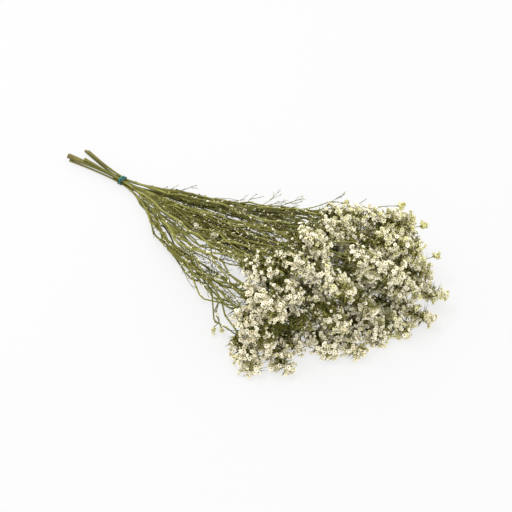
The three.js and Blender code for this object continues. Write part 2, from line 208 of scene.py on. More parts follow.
def closestPoints(a, b, c, d):  # of the segments a-b and c-d, which may be whole lists of segments
    u, v, w = b - a, d - c, a - c
    uu, uv, vv, uw, vw = dot(u, u), dot(u, v), dot(v, v), dot(u, w), dot(v, w)
    slant = uu * vv - uv * uv
    s = np.where(slant > 1e-9, np.clip((uv * vw - vv * uw) / np.maximum(slant, 1e-9), 0, 1), 0)
    t = np.clip((uv * s + vw) / vv, 0, 1)
    s = np.clip((uv * t - uw) / uu, 0, 1)
    mine, theirs = a + u * s, c + v * t
    return mine, theirs, np.linalg.norm(mine - theirs, axis=-1)


def tipOf(spray):
    return spray["base"] + spray["axis"] * spray["length"]


def spreadOut(planned):  # sprays that stand too close push each other apart
    homes = [spray["base"].copy() for spray in planned]
    for _ in range(sprays["pushes"]):
        for i, spray in enumerate(planned):
            for other in planned[i + 1:]:
                mine, theirs, gap = closestPoints(spray["base"], tipOf(spray), other["base"], tipOf(other))
                if gap < sprays["room"]:
                    push = unit(theirs - mine) * sprays["pushShare"] * (sprays["room"] - gap)
                    spray["base"] = spray["base"] - push
                    other["base"] = other["base"] + push
        for spray, home in zip(planned, homes):
            spray["base"] = spray["base"] + (home - spray["base"]) * sprays["homeShare"]
            if spray["pressed"]:
                spray["base"][2] = sprays["pressedHeight"]


def apart(spray, plan, steps):  # how far a spray stands from a stem's own place in the fan
    return math.hypot(steps[0] * (spray["u"] - plan[0]), steps[1] * (spray["h"] - plan[1]))


def planSprays():
    planned = []
    for rowSetback, rowLength, level, across in sprays["rows"]:
        for at in across:
            u = at + drawWithin(sprays["strayAcross"])
            h = level + (drawWithin(sprays["strayUp"]) if level else 0)
            length = rowLength * draw(*sprays["lengthShare"])
            setback = rowSetback * (1 - bunch["headThinning"] * u * u) + fromTable(u, sprays["shortfall"])
            end = bunch["reach"] - bunch["reachLost"] * u * u - setback + drawWithin(sprays["strayEnd"])
            base = place(end - length, u, h)
            axis = unit(place(end, u, h) - base)
            axis[1] += sprays["turn"][0] * u + drawWithin(sprays["strayTurn"][0])
            axis[2] += sprays["turn"][1] * (h - 0.5) + drawWithin(sprays["strayTurn"][1]) if level else 0
            planned.append({
                "u": u, "h": h, "base": base, "axis": unit(axis), "length": length,
                "pressed": level == 0, "phase": draw(0, 2 * math.pi),
            })
    spreadOut(planned)
    for spray in planned:
        spray["distance"] = math.hypot(spray["base"][0], spray["base"][1])
        gaps = [apart(spray, plan, stems["apart"]) for plan in stems["plans"]]
        spray["stem"] = gaps.index(min(gaps))
    return planned


def twigPath(start, leaving, end, arriving, steps, kink):
    ease = stems["ease"] * np.linalg.norm(start - end)
    corners = [start, start + leaving * ease, end - arriving * ease, end]
    points = []
    for i in range(steps + 1):
        t = i / steps
        weights = [(1 - t) ** 3, 3 * (1 - t) ** 2 * t, 3 * (1 - t) * t * t, t ** 3]
        points.append(sum(weight * corner for weight, corner in zip(weights, corners)))
        if 0 < i < steps:
            bend = kink if i % 2 else -kink
            points[i] = points[i] + np.array([0, bend, bend * 0.5])
    return points


def asSegments(branch, gap):
    points = branch["points"]
    return [(a, b, radius, gap) for a, b, radius in zip(points, points[1:], branch["radii"])]


def freeSpace(points, radius, others):
    starts, ends, radii, gaps = others
    least = math.inf
    for here, there in zip(points, points[1:]):
        _, _, gap = closestPoints(here, there, starts, ends)
        spare = (gap - radius - radii - gaps)[np.abs(starts[:, 0] - here[0]) <= stems["roomReach"]]
        least = min(least, spare.min(initial=math.inf))
    return least


def asArrays(rows):  # one array for each column
    return tuple(np.array(column) for column in zip(*rows))


def mainStem(plan, leader):
    u, h, radius, widening, tail, strayY, strayZ = plan
    reach, bends = bunch["straightAtTie"], stems["bends"]
    points = []
    for share in (1, 0.5):  # the cut end, and half the way to it
        stray = np.array([0, strayY, strayZ]) * share ** stems["tailCurve"]
        points.append(place(-tail * share, u, h) + stray)
    points += [place(-reach, u, h), place(reach, u, h)]
    for i in range(1, bends + 1):
        share = i / bends
        spread = 1 + widening * math.sin(math.pi * share)
        across = lerp(u * spread, leader["u"], share * share)
        distance = reach + (leader["distance"] - reach) * share
        point = place(distance, across, lerp(h, leader["h"], share * share))
        if i < bends:
            point[1] += stems["kink"] if i % 2 else -stems["kink"]
        points.append(point)
    points.append(leader["base"] + leader["axis"] * leader["length"] * stems["seatedShare"])
    tied, last = 3, len(points) - 1  # it tapers from the point in front of the tie
    shares = [max(0, (i - tied) / (last - tied)) ** stems["taper"] for i in range(last + 1)]
    radii = [lerp(radius, stems["tipRadius"], share) for share in shares]
    radii[0] *= stems["cutEndFlare"]
    return {"points": points, "radii": radii, "depth": 0}


def forkPlaces(spray, grown):
    places = []
    for branch in grown:
        points = branch["points"]
        for i in range(1, len(points) - 1):
            step = points[i + 1] - points[i]
            for share in stems["forkPlaces"]:
                point = points[i] + step * share
                along, towards = unit(step), spray["base"] - point
                length = np.linalg.norm(towards)
                angle = math.degrees(math.acos(min(1, max(-1, dot(along, towards)[0] / length))))
                fits = length >= stems["shortestBranch"] and angle <= stems["widestFork"]
                if fits and point[0] >= stems["forkFrom"]:
                    places.append((point, along, towards, branch["depth"], angle))
    return places


def growBranch(spray, grown, others):
    best = None
    places = forkPlaces(spray, grown)
    for attempt in range(stems["forkTries"]):
        wanted = draw(stems["forkZone"][0], stems["forkZone"][1] * spray["distance"])
        kink = draw(*stems["branchKink"]) * (1 if attempt % 2 else -1)
        costs = []
        for point, _, _, depth, angle in places:
            turnCost = stems["angleCost"] * abs(angle - stems["usualFork"])
            costs.append(abs(point[0] - wanted) + turnCost + stems["depthCost"] * depth)
        point, along, towards, depth, _ = places[costs.index(min(costs))]
        leaving = unit(along + (unit(towards) - along) * stems["branchTurn"])
        steps = max(3, math.floor(np.linalg.norm(point - spray["base"]) / stems["branchStep"] + 0.5))
        points = twigPath(point, leaving, spray["base"], spray["axis"], steps, kink)
        points.append(spray["base"] + spray["axis"] * spray["length"] * stems["seatedShare"])
        space = freeSpace(points, stems["tipRadius"] * stems["branchRoom"], others)
        if best is None or space > best["space"]:
            best = {"space": space, "points": points, "depth": depth + 1}
        if space > 0:
            break
    last = len(best["points"]) - 1
    root = stems["tipRadius"] * stems["rootWidening"][1 if best["depth"] > 1 else 0]
    best["radii"] = [lerp(root, stems["tipRadius"], i / last) for i in range(last + 1)]
    return best


def growBunch():
    planned = planSprays()
    lines = [(spray["base"], tipOf(spray), sprays["coreRadius"], sprays["coreGap"]) for spray in planned]
    grown, carried = [], []
    for number, plan in enumerate(stems["plans"]):  # a stem leads to a far spray that stands little aside
        mine = [spray for spray in planned if spray["stem"] == number]
        mine.sort(key=lambda spray: apart(spray, plan, stems["leadApart"]) - spray["distance"])
        grown.append([mainStem(plan, mine[0])])
        carried.append(mine)
    taken = [asSegments(branches[0], stems["gap"]) for branches in grown]
    for number, branches in enumerate(grown):
        for spray in carried[number][1:]:
            inTheWay = [line for line, other in zip(lines, planned) if other is not spray]
            others = [segment for k, segments in enumerate(taken) if k != number for segment in segments]
            branch = growBranch(spray, branches, asArrays(others + inTheWay))
            branches.append(branch)
            taken[number] += asSegments(branch, stems["gap"])
    return planned, carried, grown


def bundleOutline(distance, steps):  # round the tied stems, this far outside their skin
    points = []
    for k in range(steps):
        angle = 2 * math.pi * k / steps
        outward = np.array([0, math.cos(angle), math.sin(angle)])
        skins = [place(0, plan[0], plan[1]) + outward * (plan[2] + distance) for plan in stems["plans"]]
        points.append(max(skins, key=lambda point: point @ outward))
    return np.array(points)


planned, carried, grown = growBunch()
outermost = bundleOutline(tie["gap"] + tie["lift"] + tie["thickness"], tie["steps"])
tieStart = tie["slant"] * (outermost[:, 2].min() - bundleFloor - bunch["tiedHeight"] / 2) - tie["width"] / 2
tieLow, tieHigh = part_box("tie")
tiedAt = np.array([tieLow.x / mm - tieStart, tieLow.y / mm - outermost[:, 1].min(), 0])
branchCount = sum(len(branches) for branches in grown)
print("grown:", len(planned), "sprays on", branchCount, "branches; tie at", tiedAt)


# Meshes are gathered part by part, with four numbers of paint at each point that the materials read

finishes = {"stalk": 0, "bud": 1, "floret": 2}
sharpFrom = math.radians(62)
floorGap = 0.35  # between anything thin and the ground


class Pile:
    def __init__(self):
        self.points, self.triangles, self.paint, self.finishes = [], [], [], []
        self.size = 0

    def add(self, points, triangles, paint, finish="stalk"):
        self.points.append(points.reshape(-1, 3))
        self.triangles.append(triangles + self.size)
        self.paint.append(paint.reshape(-1, 4))
        self.finishes.append(np.full(len(triangles), finishes[finish]))
        self.size += len(self.points[-1])


def makePiece(name, pile, materials, node):
    mesh = bpy.data.meshes.new(name)
    triangles = np.concatenate(pile.triangles)
    mesh.vertices.add(pile.size)
    mesh.vertices.foreach_set("co", ((np.concatenate(pile.points) + tiedAt) * mm).ravel())
    mesh.loops.add(triangles.size)
    mesh.loops.foreach_set("vertex_index", triangles.ravel())
    mesh.polygons.add(len(triangles))
    mesh.polygons.foreach_set("loop_start", np.arange(0, triangles.size, 3))
    mesh.polygons.foreach_set("material_index", np.concatenate(pile.finishes))
    mesh.update(calc_edges=True)
    paint = mesh.attributes.new("paint", "FLOAT_COLOR", "POINT")
    paint.data.foreach_set("color", np.concatenate(pile.paint).ravel())
    mesh.shade_smooth()
    mesh.set_sharp_from_angle(angle=sharpFrom)
    mesh.validate()
    for material in materials:
        mesh.materials.append(material)
    piece = bpy.data.objects.new(name, mesh)
    bpy.context.scene.collection.objects.link(piece)
    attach(piece, "root")
    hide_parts(node)
    return len(triangles)


def fade(value, low, high):  # 0 below low, 1 above high
    share = np.clip((value - low) / (high - low), 0, 1)
    return share * share * (3 - 2 * share)


def lengthsAlong(path):
    return np.concatenate([[0], np.cumsum(np.linalg.norm(np.diff(path, axis=0), axis=1))])


def directionsAlong(path):
    return unit(np.gradient(path, axis=0))


def pointsAt(where, at, path):
    return np.stack([np.interp(where, at, path[:, k]) for k in range(3)], -1)


def framesAlong(path):
    along = directionsAlong(path)
    side = np.array([0, 0, 1]) if abs(along[0][2]) < 0.9 else np.array([0, 1, 0])
    sides = []
    for direction in along:
        side = side - direction * (side @ direction)
        side = side / math.sqrt(side @ side)
        sides.append(side)
    sides = np.array(sides)
    return along, sides, np.cross(along, sides)


def gridPlaces(rows, columns):
    return (grid.ravel() for grid in np.meshgrid(np.arange(rows), np.arange(columns), indexing="ij"))


@functools.lru_cache(None)
def tubeTriangles(rings, sides):
    ring, side = gridPlaces(rings - 1, sides)
    a, b = ring * sides + side, ring * sides + (side + 1) % sides
    k = np.arange(1, sides - 1)
    last = (rings - 1) * sides
    return np.concatenate([
        np.stack([a, b, a + sides], 1),
        np.stack([b, b + sides, a + sides], 1),
        np.stack([0 * k, k + 1, k], 1),
        np.stack([0 * k + last, last + k, last + k + 1], 1),
    ])


def tubePoints(path, radii, sides, ribs=0.0, flatness=1.0):
    along, side, across = framesAlong(path)
    angle = 2 * math.pi * np.arange(sides) / sides
    reach = radii[:, None, None] * (1 + ribs * np.where(np.arange(sides) % 2, -1, 1))[None, :, None]
    outward = side[:, None] * np.cos(angle)[None, :, None] * flatness
    return path[:, None] + (outward + across[:, None] * np.sin(angle)[None, :, None]) * reach


def plainPaint(rings, sides, tint):
    paint = np.zeros((rings, sides, 4))
    paint[:, :, 1] = tint
    return paint


def addTube(pile, path, radii, sides, tint):
    rings = len(path)
    pile.add(tubePoints(path, radii, sides), tubeTriangles(rings, sides), plainPaint(rings, sides, tint))


def aside(along, rng):  # a direction across this one, more often level than up or down
    away = rng.normal(0, 1, 3) * np.array([1, 1, 0.75])
    return unit(away - along * (away @ along))


# Florets and buds: one template of each, made of rings, and many copies

floret = {
    "rings": [  # radius, height, points, paperiness, heart, looseness
        (0.0, 0.0, 1, 0.0, 0.0, 0.0),
        (2.95, 3.3, 15, 1.0, 0.0, 1.0),
        (0.0, 1.9, 1, 0.55, 1.0, 0.25),
    ],
    "lobe": [0.72, 1.04, 1.04],  # reach of the rim's points, from one notch towards the next
    "pleat": [-0.25, 0.3, 0.3],  # how much higher they stand
}

pointedFloret = {
    "rings": [
        (0.0, 0.0, 1, 0.0, 0.0, 0.0),
        (2.95, 3.3, 10, 1.0, 0.0, 1.0),
        (0.0, 1.9, 1, 0.55, 1.0, 0.25),
    ],
    "lobe": [0.76, 1.12],
    "pleat": [-0.2, 0.35],
}

bud = {
    "rings": [
        (0.0, 0.0, 1, 0.0, 0.0, 0.0),
        (0.95, 1.5, 4, 0.35, 0.0, 0.15),
        (0.8, 2.9, 4, 0.8, 0.0, 0.15),
        (0.0, 3.8, 1, 1.0, 0.0, 0.2),
    ],
    "lobe": [1.0],
    "pleat": [0.0],
}


def stitch(first, countA, second, countB):  # triangles between two rings, one of which may be finer
    if countA > countB:
        return [(c, b, a) for a, b, c in stitch(second, countB, first, countA)]
    if countA == 1:
        return [(first, second + (k + 1) % countB, second + k) for k in range(countB)]
    faces = []
    ratio = countB // countA
    for k in range(countA):
        a, b = first + k, first + (k + 1) % countA
        outer = [second + (ratio * k + i) % countB for i in range(ratio + 1)]
        half = ratio // 2
        faces += [(a, outer[i + 1], outer[i]) for i in range(half)]
        faces.append((a, b, outer[half]))
        faces += [(b, outer[i + 1], outer[i]) for i in range(half, ratio)]
    return faces


def makeTemplate(values):
    points, paint, loose, faces, starts = [], [], [], [], []
    for radius, height, count, papery, heart, looseness in values["rings"]:
        starts.append(len(points))
        for k in range(count):
            angle = 2 * math.pi * k / count
            isRim = looseness == 1.0
            reach = radius * (values["lobe"][k % len(values["lobe"])] if isRim else 1)
            rise = height + (values["pleat"][k % len(values["pleat"])] if isRim else 0)
            points.append((reach * math.cos(angle), reach * math.sin(angle), rise))
            paint.append((papery, 0, heart, 0))
            loose.append(looseness)
    rings = values["rings"]
    for i in range(len(rings) - 1):
        faces += stitch(starts[i], rings[i][2], starts[i + 1], rings[i + 1][2])
    made = {"points": points, "triangles": faces, "paint": paint, "loose": loose}
    return {key: np.array(values) for key, values in made.items()}


floretTemplate, pointedTemplate, budTemplate = (makeTemplate(shape) for shape in (floret, pointedFloret, bud))

copies = {
    "opening": (-0.34, 0.12),  # how much wider than the template its rim is
    "rise": 4,  # of a rim that opens less
    "crumple": 0.19,
}


def addCopies(pile, template, chosen, seats, directions, sizes, tints, rng, finish="floret"):
    seats, directions, sizes, tints = (values[chosen] for values in (seats, directions, sizes, tints))
    count = len(seats)
    if not count:
        return
    upright = np.abs(directions[:, 2:]) < 0.9
    reference = np.where(upright, [[0.0, 0.0, 1.0]], [[1.0, 0.0, 0.0]])
    x = unit(np.cross(reference, directions))
    y = np.cross(directions, x)
    spin = rng.uniform(0, 2 * math.pi, (count, 1))
    cosine, sine = np.cos(spin), np.sin(spin)
    basis = np.stack([x * cosine + y * sine, y * cosine - x * sine, directions], 1)
    loose = template["loose"]
    opening = 1 + rng.uniform(*copies["opening"], (count, 1)) * loose
    local = np.repeat(template["points"][None], count, axis=0)
    local[:, :, :2] *= opening[:, :, None]
    local[:, :, 2] += (1 - opening) * copies["rise"] * loose
    local += rng.normal(0, copies["crumple"], local.shape) * loose[None, :, None]
    world = seats[:, None] + np.einsum("fvk,fkj->fvj", local * sizes[:, None, None], basis)
    world[:, :, 2] += np.maximum(0, floorGap - world[:, :, 2].min(1))[:, None]
    paint = np.repeat(template["paint"][None], count, axis=0)
    paint[:, :, 1] = tints[:, None]
    steps = np.arange(count)[:, None, None] * len(template["points"])
    pile.add(world, (template["triangles"][None] + steps).reshape(-1, 3), paint, finish)


# Bracts and scales: small pointed leaves at the nodes, dark on the stalks and papery here and there

bracts = {
    "length": (2.4, 4.6),  # of those at the nodes of strands
    "width": 0.72,
    "nodeTint": (0, 0.5),
    "headLength": (4.5, 8.5),  # of those between the florets
    "headWidth": (0.8, 1.7),
    "coreLength": (8, 15),  # of those round the middle of a spray
    "coreWidth": (0.9, 1.9),
    "coreCount": 130,
    "bladeLength": (13, 20),  # of the longest, which stand out of a spray's middle
    "bladeWidth": (0.7, 1.3),
    "bladeCount": 70,
    "paleShare": 0.6,  # of those between the florets, and half as much round the middle
    "paperiness": (0.2, 0.8),
    "tint": (-0.1, 1.0),
    "tipLength": (2.0, 3.6),  # of those at the ends of sprigs
    "tipWidth": (0.4, 0.8),
    "fleckLength": (2.5, 6),  # of the papery ones on strands
    "fleckWidth": (0.7, 1.5),
    "fleckTint": (0.0, 0.9),
    "fleckPaperiness": 0.9,
    "scaleLength": (5, 10),
    "scaleWidth": (1.0, 1.7),
    "scaleTint": (0.2, 0.9),
    "scaleOutline": [(0.35, 0.5), (0.9, 0.7), (1.0, 0.8), (0.75, 0.9), (0.15, 1.0)],  # width, paperiness
    "scaleFlatness": 0.16,
    "curl": 0.3,
}

bractFaces = np.array([[0, 1, 2], [0, 3, 1], [1, 3, 2], [2, 3, 0]])


def addBracts(pile, feet, directions, lengths, widths, tints, rng, papery=0, finish="stalk"):
    count = len(feet)
    across = unit(np.cross(directions, rng.normal(0, 1, (count, 3))))
    upward = np.cross(directions, across)
    wide, long = widths[:, None], lengths[:, None]
    points = np.stack([
        feet + across * wide,
        feet - across * wide,
        feet + upward * wide * 0.7 + directions * long * 0.3,
        feet + upward * wide * 0.5 + directions * long,
    ], 1)
    points[:, :, 2] = np.maximum(points[:, :, 2], floorGap * np.array([1, 1, 1.3, 1.1]))
    paint = plainPaint(count, 4, tints[:, None])
    paint[:, :, 0] = np.reshape(papery, (-1, 1))
    steps = np.arange(count)[:, None, None] * 4
    pile.add(points, (bractFaces[None] + steps).reshape(-1, 3), paint, finish)


def addScale(pile, foot, along, rng):  # a thin papery leaf, curved a little
    length, width = rng.uniform(*bracts["scaleLength"]), rng.uniform(*bracts["scaleWidth"])
    outline, sides = np.array(bracts["scaleOutline"]), 4
    curl = aside(along, rng)
    t = np.linspace(0, 1, len(outline))[:, None]
    path = foot + along * length * t + curl * length * bracts["curl"] * t * t
    points = tubePoints(path, width * outline[:, 0], sides, 0, bracts["scaleFlatness"])
    points[:, :, 2] = np.maximum(points[:, :, 2], floorGap)
    paint = plainPaint(len(outline), sides, rng.uniform(*bracts["scaleTint"]))
    paint[:, :, 0] = outline[:, 1:]
    pile.add(points, tubeTriangles(len(outline), sides), paint, "floret")


# Strands: stems, their branches, finer ones beside them and bare twigs

strands = {
    "step": 4.0,
    "sides": 6,
    "fineSides": 5,
    "stemSides": 12,
    "stemRibs": 0.07,
    "firstNode": (8, 20),
    "nodeSpacing": (15, 34),
    "nodeSwelling": 0.32,
    "swellingFrom": (10, 40),  # from the tie, where the nodes fade in
    "nodeWidth": 2.0,
    "bend": 2.1,  # how far a node usually strays
    "nearBend": 0.6,
    "nearFrom": (0.3, 0.8),
    "bendsFrom": (18, 75),  # from the tie, where the bends fade in
    "straightness": 0.75,
    "straightFrom": (30, 90),
    "companions": 2,  # finer strands from a stem to each of its sprays
    "wanderers": 1,  # strands to a spray that cross the fan on their way
    "companionStray": 0.07,  # of half the fan
    "wandererStray": 0.2,
    "strayUp": 0.12,
    "strayEnd": 4.5,
    "endSpan": (0.1, 0.9),  # of the spray, where its strands end
    "turnSpacing": 58,
    "lateTurn": 1.3,
    "nearEdge": [  # distance from the tie, how far across the fan the strands reach there
        (28, 0.8), (64, 0.92), (122, 1.13), (150, 1.05), (170, 0.98),
        (233, 0.96), (284, 0.98), (310, 0.98), (340, 0.93), (400, 0.92),
    ],
    "farEdge": [
        (60, 1.15), (110, 1.08), (150, 1.06), (190, 1.1), (230, 1.2), (271, 1.3), (400, 1.35),
    ],
    "farLean": 0.55,  # how much less they reach there at the top of the fan
    "inset": 0.14,  # how far within those edges the ways of some stay
    "start": (0.015, 0.4),  # share of the way where they leave their stem
    "startPower": 2.3,
    "nearSide": -0.42,  # sprays further across than this have one companion and one wanderer less
    "radius": (1.15, 0.55),
    "thinnest": 0.75,  # share of that radius
    "thickest": 1.15,
    "nearThicker": 0.15,
    "stemTint": 0.28,
    "branchTint": (-0.1, 0.9),
    "tint": (-0.65, 1.0),
    "nodeTint": 0.12,
    "oldFrom": 10,  # from the tie, where the grey of the old stems begins
    "oldOver": 110,
    "cutSlant": (0.35, 0.8),
    "cutRings": [  # of a cut end: place along the stem, radius, depth of the cut's colour
        (-0.03, 0.02, 1.0),
        (-0.02, 0.55, 0.9),
        (0.0, 0.9, 0.6),
        (0.06, 1.0, 0.5),
        (1.2, 1.02, 0.0),
    ],
    "redCutFrom": 2.5,  # radius of the cut ends whose bark is red
    "youngCut": 0.2,  # redness of the others
    "leafFoot": 0.6,  # of the radius
    "leafLean": 0.45,
    "scaleShare": 0.07,
    "scalesFrom": 70,
    "flecksFrom": (60, 190),  # from the tie, where they come to carry papery flecks
    "flecksPerNode": 1.6,
    "budsFrom": (110, 260),  # from the tie, where the nodes come to carry closed florets
    "budShare": 0.75,
    "budSize": (0.5, 1.0),
    "budTint": (0.1, 0.9),
    "endReach": (7, 11),  # of the two spikelets at the end of a fine strand
    "endTint": 0.5,
}

twigs = {
    "perStrand": 4.6,
    "zone": (48, 345),
    "points": 6,
    "length": (12, 36),
    "radius": (0.5, 0.28),
    "angle": (22, 52),
    "droop": 0.25,
    "turnBack": 0.35,
    "crook": 0.4,
    "tint": (-0.4, 0.7),
    "forkShare": 0.6,
    "forkFrom": 10,  # length of the twigs that fork
    "forkLength": (0.25, 0.5),
    "forkThinning": 0.75,
    "deepest": 2,
    "beyond": (0.03, 0.1),  # the near and the far edge of the strands
    "budShare": 0.75,
    "budSize": (0.35, 0.8),
    "paleShare": 0.7,  # of the tips that carry a closed floret
    "paleFrom": (90, 190),
}


def placeAll(distance, u, h):
    return np.array([place(*values) for values in zip(distance, u, h)])


def fanPlace(point):  # a point's distance from the tie, u and h
    run = math.hypot(point[0] - bunch["straightAtTie"], point[1])
    distance = run + bunch["straightAtTie"]
    u = point[1] / (bunch["tiedHalfWidth"] + run * bunch["fanHalfAngle"])
    low, high = place(distance, u, 0)[2], place(distance, u, 1)[2]
    return distance, u, (point[2] - low) / (high - low)


def smoothPath(corners, radii, step):  # through the corners, curved near the tie, almost straight further on
    corners = np.array(corners)
    chords = np.linalg.norm(np.diff(corners, axis=0), axis=1)
    slopes = np.diff(corners, axis=0) / chords[:, None]
    before, after = chords[:-1, None], chords[1:, None]
    middles = (slopes[:-1] * after + slopes[1:] * before) / (before + after)
    tangents = np.vstack([slopes[:1], middles, slopes[-1:]])
    at = np.concatenate([[0], np.cumsum(chords)])
    where = np.linspace(0, at[-1], max(3, math.ceil(at[-1] / step) + 1))
    i = np.clip(np.searchsorted(at, where, side="right") - 1, 0, len(chords) - 1)
    span = chords[i][:, None]
    t = (where - at[i])[:, None] / span
    curve = corners[i] * (2 * t ** 3 - 3 * t ** 2 + 1) + tangents[i] * span * (t ** 3 - 2 * t ** 2 + t)
    curve += corners[i + 1] * (3 * t ** 2 - 2 * t ** 3) + tangents[i + 1] * span * (t ** 3 - t ** 2)
    line = corners[i] + slopes[i] * t * span
    straight = strands["straightness"] * fade(curve[:, :1], *strands["straightFrom"])
    return lerp(curve, line, straight), np.interp(where, at, radii)


def strandNodes(length, rng):
    nodes = []
    at = rng.uniform(*strands["firstNode"])
    while at < length - strands["firstNode"][0]:
        nodes.append(at)
        at += rng.uniform(*strands["nodeSpacing"])
    return np.array(nodes)


def bentAtNodes(path, nodes, rng):  # more at the near side of the fan, whose strands stand apart
    at = lengthsAlong(path)
    corners = np.concatenate([[0], nodes, [at[-1]]])
    places = np.array([fanPlace(path[np.abs(at - corner).argmin()])[1] for corner in corners])
    bends = strands["bend"] * (1 + strands["nearBend"] * fade(-places, *strands["nearFrom"]))
    offsets = rng.normal(0, 1, (len(corners), 3)) * bends[:, None] * np.array([0, 1, 0.7])
    offsets[0] = offsets[-1] = 0
    return path + pointsAt(at, corners, offsets) * fade(path[:, :1], *strands["bendsFrom"])


def addFlecks(pile, path, along, radii, count, rng):  # small papery leaves on a strand
    spots = rng.integers(1, len(path) - 1, count)
    chance = fade(np.linalg.norm(path[spots, :2], axis=1), *strands["flecksFrom"])
    spots = spots[(rng.random(count) < chance) & (path[spots, 0] > 0)]
    count = len(spots)
    if count:
        out = np.array([aside(along[i], rng) for i in spots])
        feet = path[spots] + (out * strands["leafFoot"] + [0, 0, 0.9]) * radii[spots, None]
        aslant = unit(along[spots] + rng.normal(0, 0.35, (count, 3)))
        sizes = [rng.uniform(*bracts[key], count) for key in ("fleckLength", "fleckWidth", "fleckTint")]
        addBracts(pile, feet, aslant, *sizes, rng, bracts["fleckPaperiness"], "floret")


def addStrand(pile, path, radii, sides, tint, rng, ribs=0.0, age=0.0):  # returns the places of its nodes
    at = lengthsAlong(path)
    nodes = strandNodes(at[-1], rng)
    path = bentAtNodes(path, nodes, rng)
    swelling = np.exp(-((at[:, None] - nodes[None]) / strands["nodeWidth"]) ** 2).sum(1)
    radii = radii * (1 + strands["nodeSwelling"] * swelling * fade(path[:, 0], *strands["swellingFrom"]))
    path[:, 2] = np.maximum(path[:, 2], radii + floorGap)
    paint = plainPaint(len(path), sides, tint + strands["nodeTint"] * swelling[:, None])
    paint[:, :, 0] = np.reshape(age, (-1, 1))
    paint[:, :, 3] = np.arange(sides) % 2 == 0  # the ribs
    pile.add(tubePoints(path, radii, sides, ribs), tubeTriangles(len(path), sides), paint)
    along = directionsAlong(path)
    spots = [int(np.abs(at - node).argmin()) for node in nodes]
    if not spots:
        return []
    count = len(spots)
    out = np.array([aside(along[i], rng) for i in spots])
    feet = path[spots] + out * radii[spots, None] * strands["leafFoot"]
    towards = unit(along[spots] + out * strands["leafLean"])
    lengths, tints = rng.uniform(*bracts["length"], count), rng.uniform(*bracts["nodeTint"], count)
    addBracts(pile, feet, towards, lengths, np.full(count, bracts["width"]), tints, rng)
    addFlecks(pile, path, along, radii, round(strands["flecksPerNode"] * count), rng)
    distance = np.linalg.norm(path[spots, :2], axis=1)
    hasBud = rng.random(count) < strands["budShare"] * fade(distance, *strands["budsFrom"])
    hasBud &= path[spots, 0] > 0
    sizes, tints = rng.uniform(*strands["budSize"], count), rng.uniform(*strands["budTint"], count)
    addCopies(pile, budTemplate, hasBud, feet, towards, sizes, tints, rng)
    for i, foot, direction in zip(spots, feet, towards):
        if path[i, 0] > strands["scalesFrom"] and rng.random() < strands["scaleShare"]:
            addScale(pile, foot, direction, rng)
    return [(path[i], along[i]) for i in spots]


def addTwig(pile, start, along, length, rng, tint, depth=0):  # returns its tips
    turn = math.radians(rng.uniform(*twigs["angle"]))
    leaving = along * math.cos(turn) + aside(along, rng) * math.sin(turn)
    droop = aside(along, rng) * rng.uniform(0, twigs["droop"])
    count = twigs["points"]
    t = np.linspace(0, 1, count)[:, None]
    path = start + leaving * length * t + (along * twigs["turnBack"] + droop) * length * t * t
    path[1:-1] += rng.normal(0, twigs["crook"], (count - 2, 3))
    distance, u, h = fanPlace(path[-1])
    low, high = edgesAt(distance, np.clip(h, 0, 1))
    if not low - twigs["beyond"][0] < u < high + twigs["beyond"][1]:
        return []
    path[:, 2] = np.maximum(path[:, 2], floorGap + twigs["radius"][0])
    radii = np.linspace(*twigs["radius"], count) * (twigs["forkThinning"] if depth else 1)
    addTube(pile, path, radii, 3, tint)
    tips = [(path[-1], unit(path[-1] - path[-2]))]
    if depth < twigs["deepest"] and length > twigs["forkFrom"]:
        for i in range(2, count - 1):
            if rng.random() < twigs["forkShare"]:
                step = unit(path[i + 1] - path[i])
                forkLength = length * rng.uniform(*twigs["forkLength"])
                tips += addTwig(pile, path[i], step, forkLength, rng, tint, depth + 1)
    return tips


def addTwigs(pile, places, count, rng):  # bare ones, and ones with a closed floret at the tip
    usable = [place for place in places if twigs["zone"][0] < place[0][0] < twigs["zone"][1]]
    tips = []
    for i in rng.choice(len(usable), count, replace=True):
        tips += addTwig(pile, *usable[i], rng.uniform(*twigs["length"]), rng, rng.uniform(*twigs["tint"]))
    feet, towards = asArrays([tip for tip in tips if rng.random() < twigs["budShare"]])
    count = len(feet)
    isPale = rng.random(count) < twigs["paleShare"] * fade(feet[:, 0], *twigs["paleFrom"])
    for chosen, finish in ((isPale, "floret"), (~isPale, "bud")):
        sizes, tints = rng.uniform(*twigs["budSize"], count), rng.uniform(0, 1, count)
        addCopies(pile, budTemplate, chosen, feet, towards, sizes, tints, rng, finish)


def followBranches(number):  # lines of one stem's branches, and the whole way to each spray
    lines, routes, starts, thicknesses = [], [], [], []
    for branch in grown[number]:
        corners = list(branch["points"])
        if lines:
            gaps = [np.linalg.norm(line - corners[0], axis=1) for line in lines]
            parent = min(range(len(lines)), key=lambda k: gaps[k].min())
            joint = int(gaps[parent].argmin())
            corners[0] = lines[parent][joint]
            way = routes[parent][:starts[parent] + joint]
        line, thickness = smoothPath(corners, branch["radii"], strands["step"])
        if not lines:
            tied = int(np.abs(line[:, 0]).argmin())
            starts.append(-tied)
            routes.append(line[tied:])
        else:
            starts.append(len(way))
            routes.append(np.concatenate([way, line]))
        lines.append(line)
        thicknesses.append(thickness)
    return lines, thicknesses, routes


def edgesAt(distance, h):  # how far across the fan the strands may be
    farEdge = fromTable(distance, strands["farEdge"]) - strands["farLean"] * h
    return -fromTable(distance, strands["nearEdge"]), farEdge


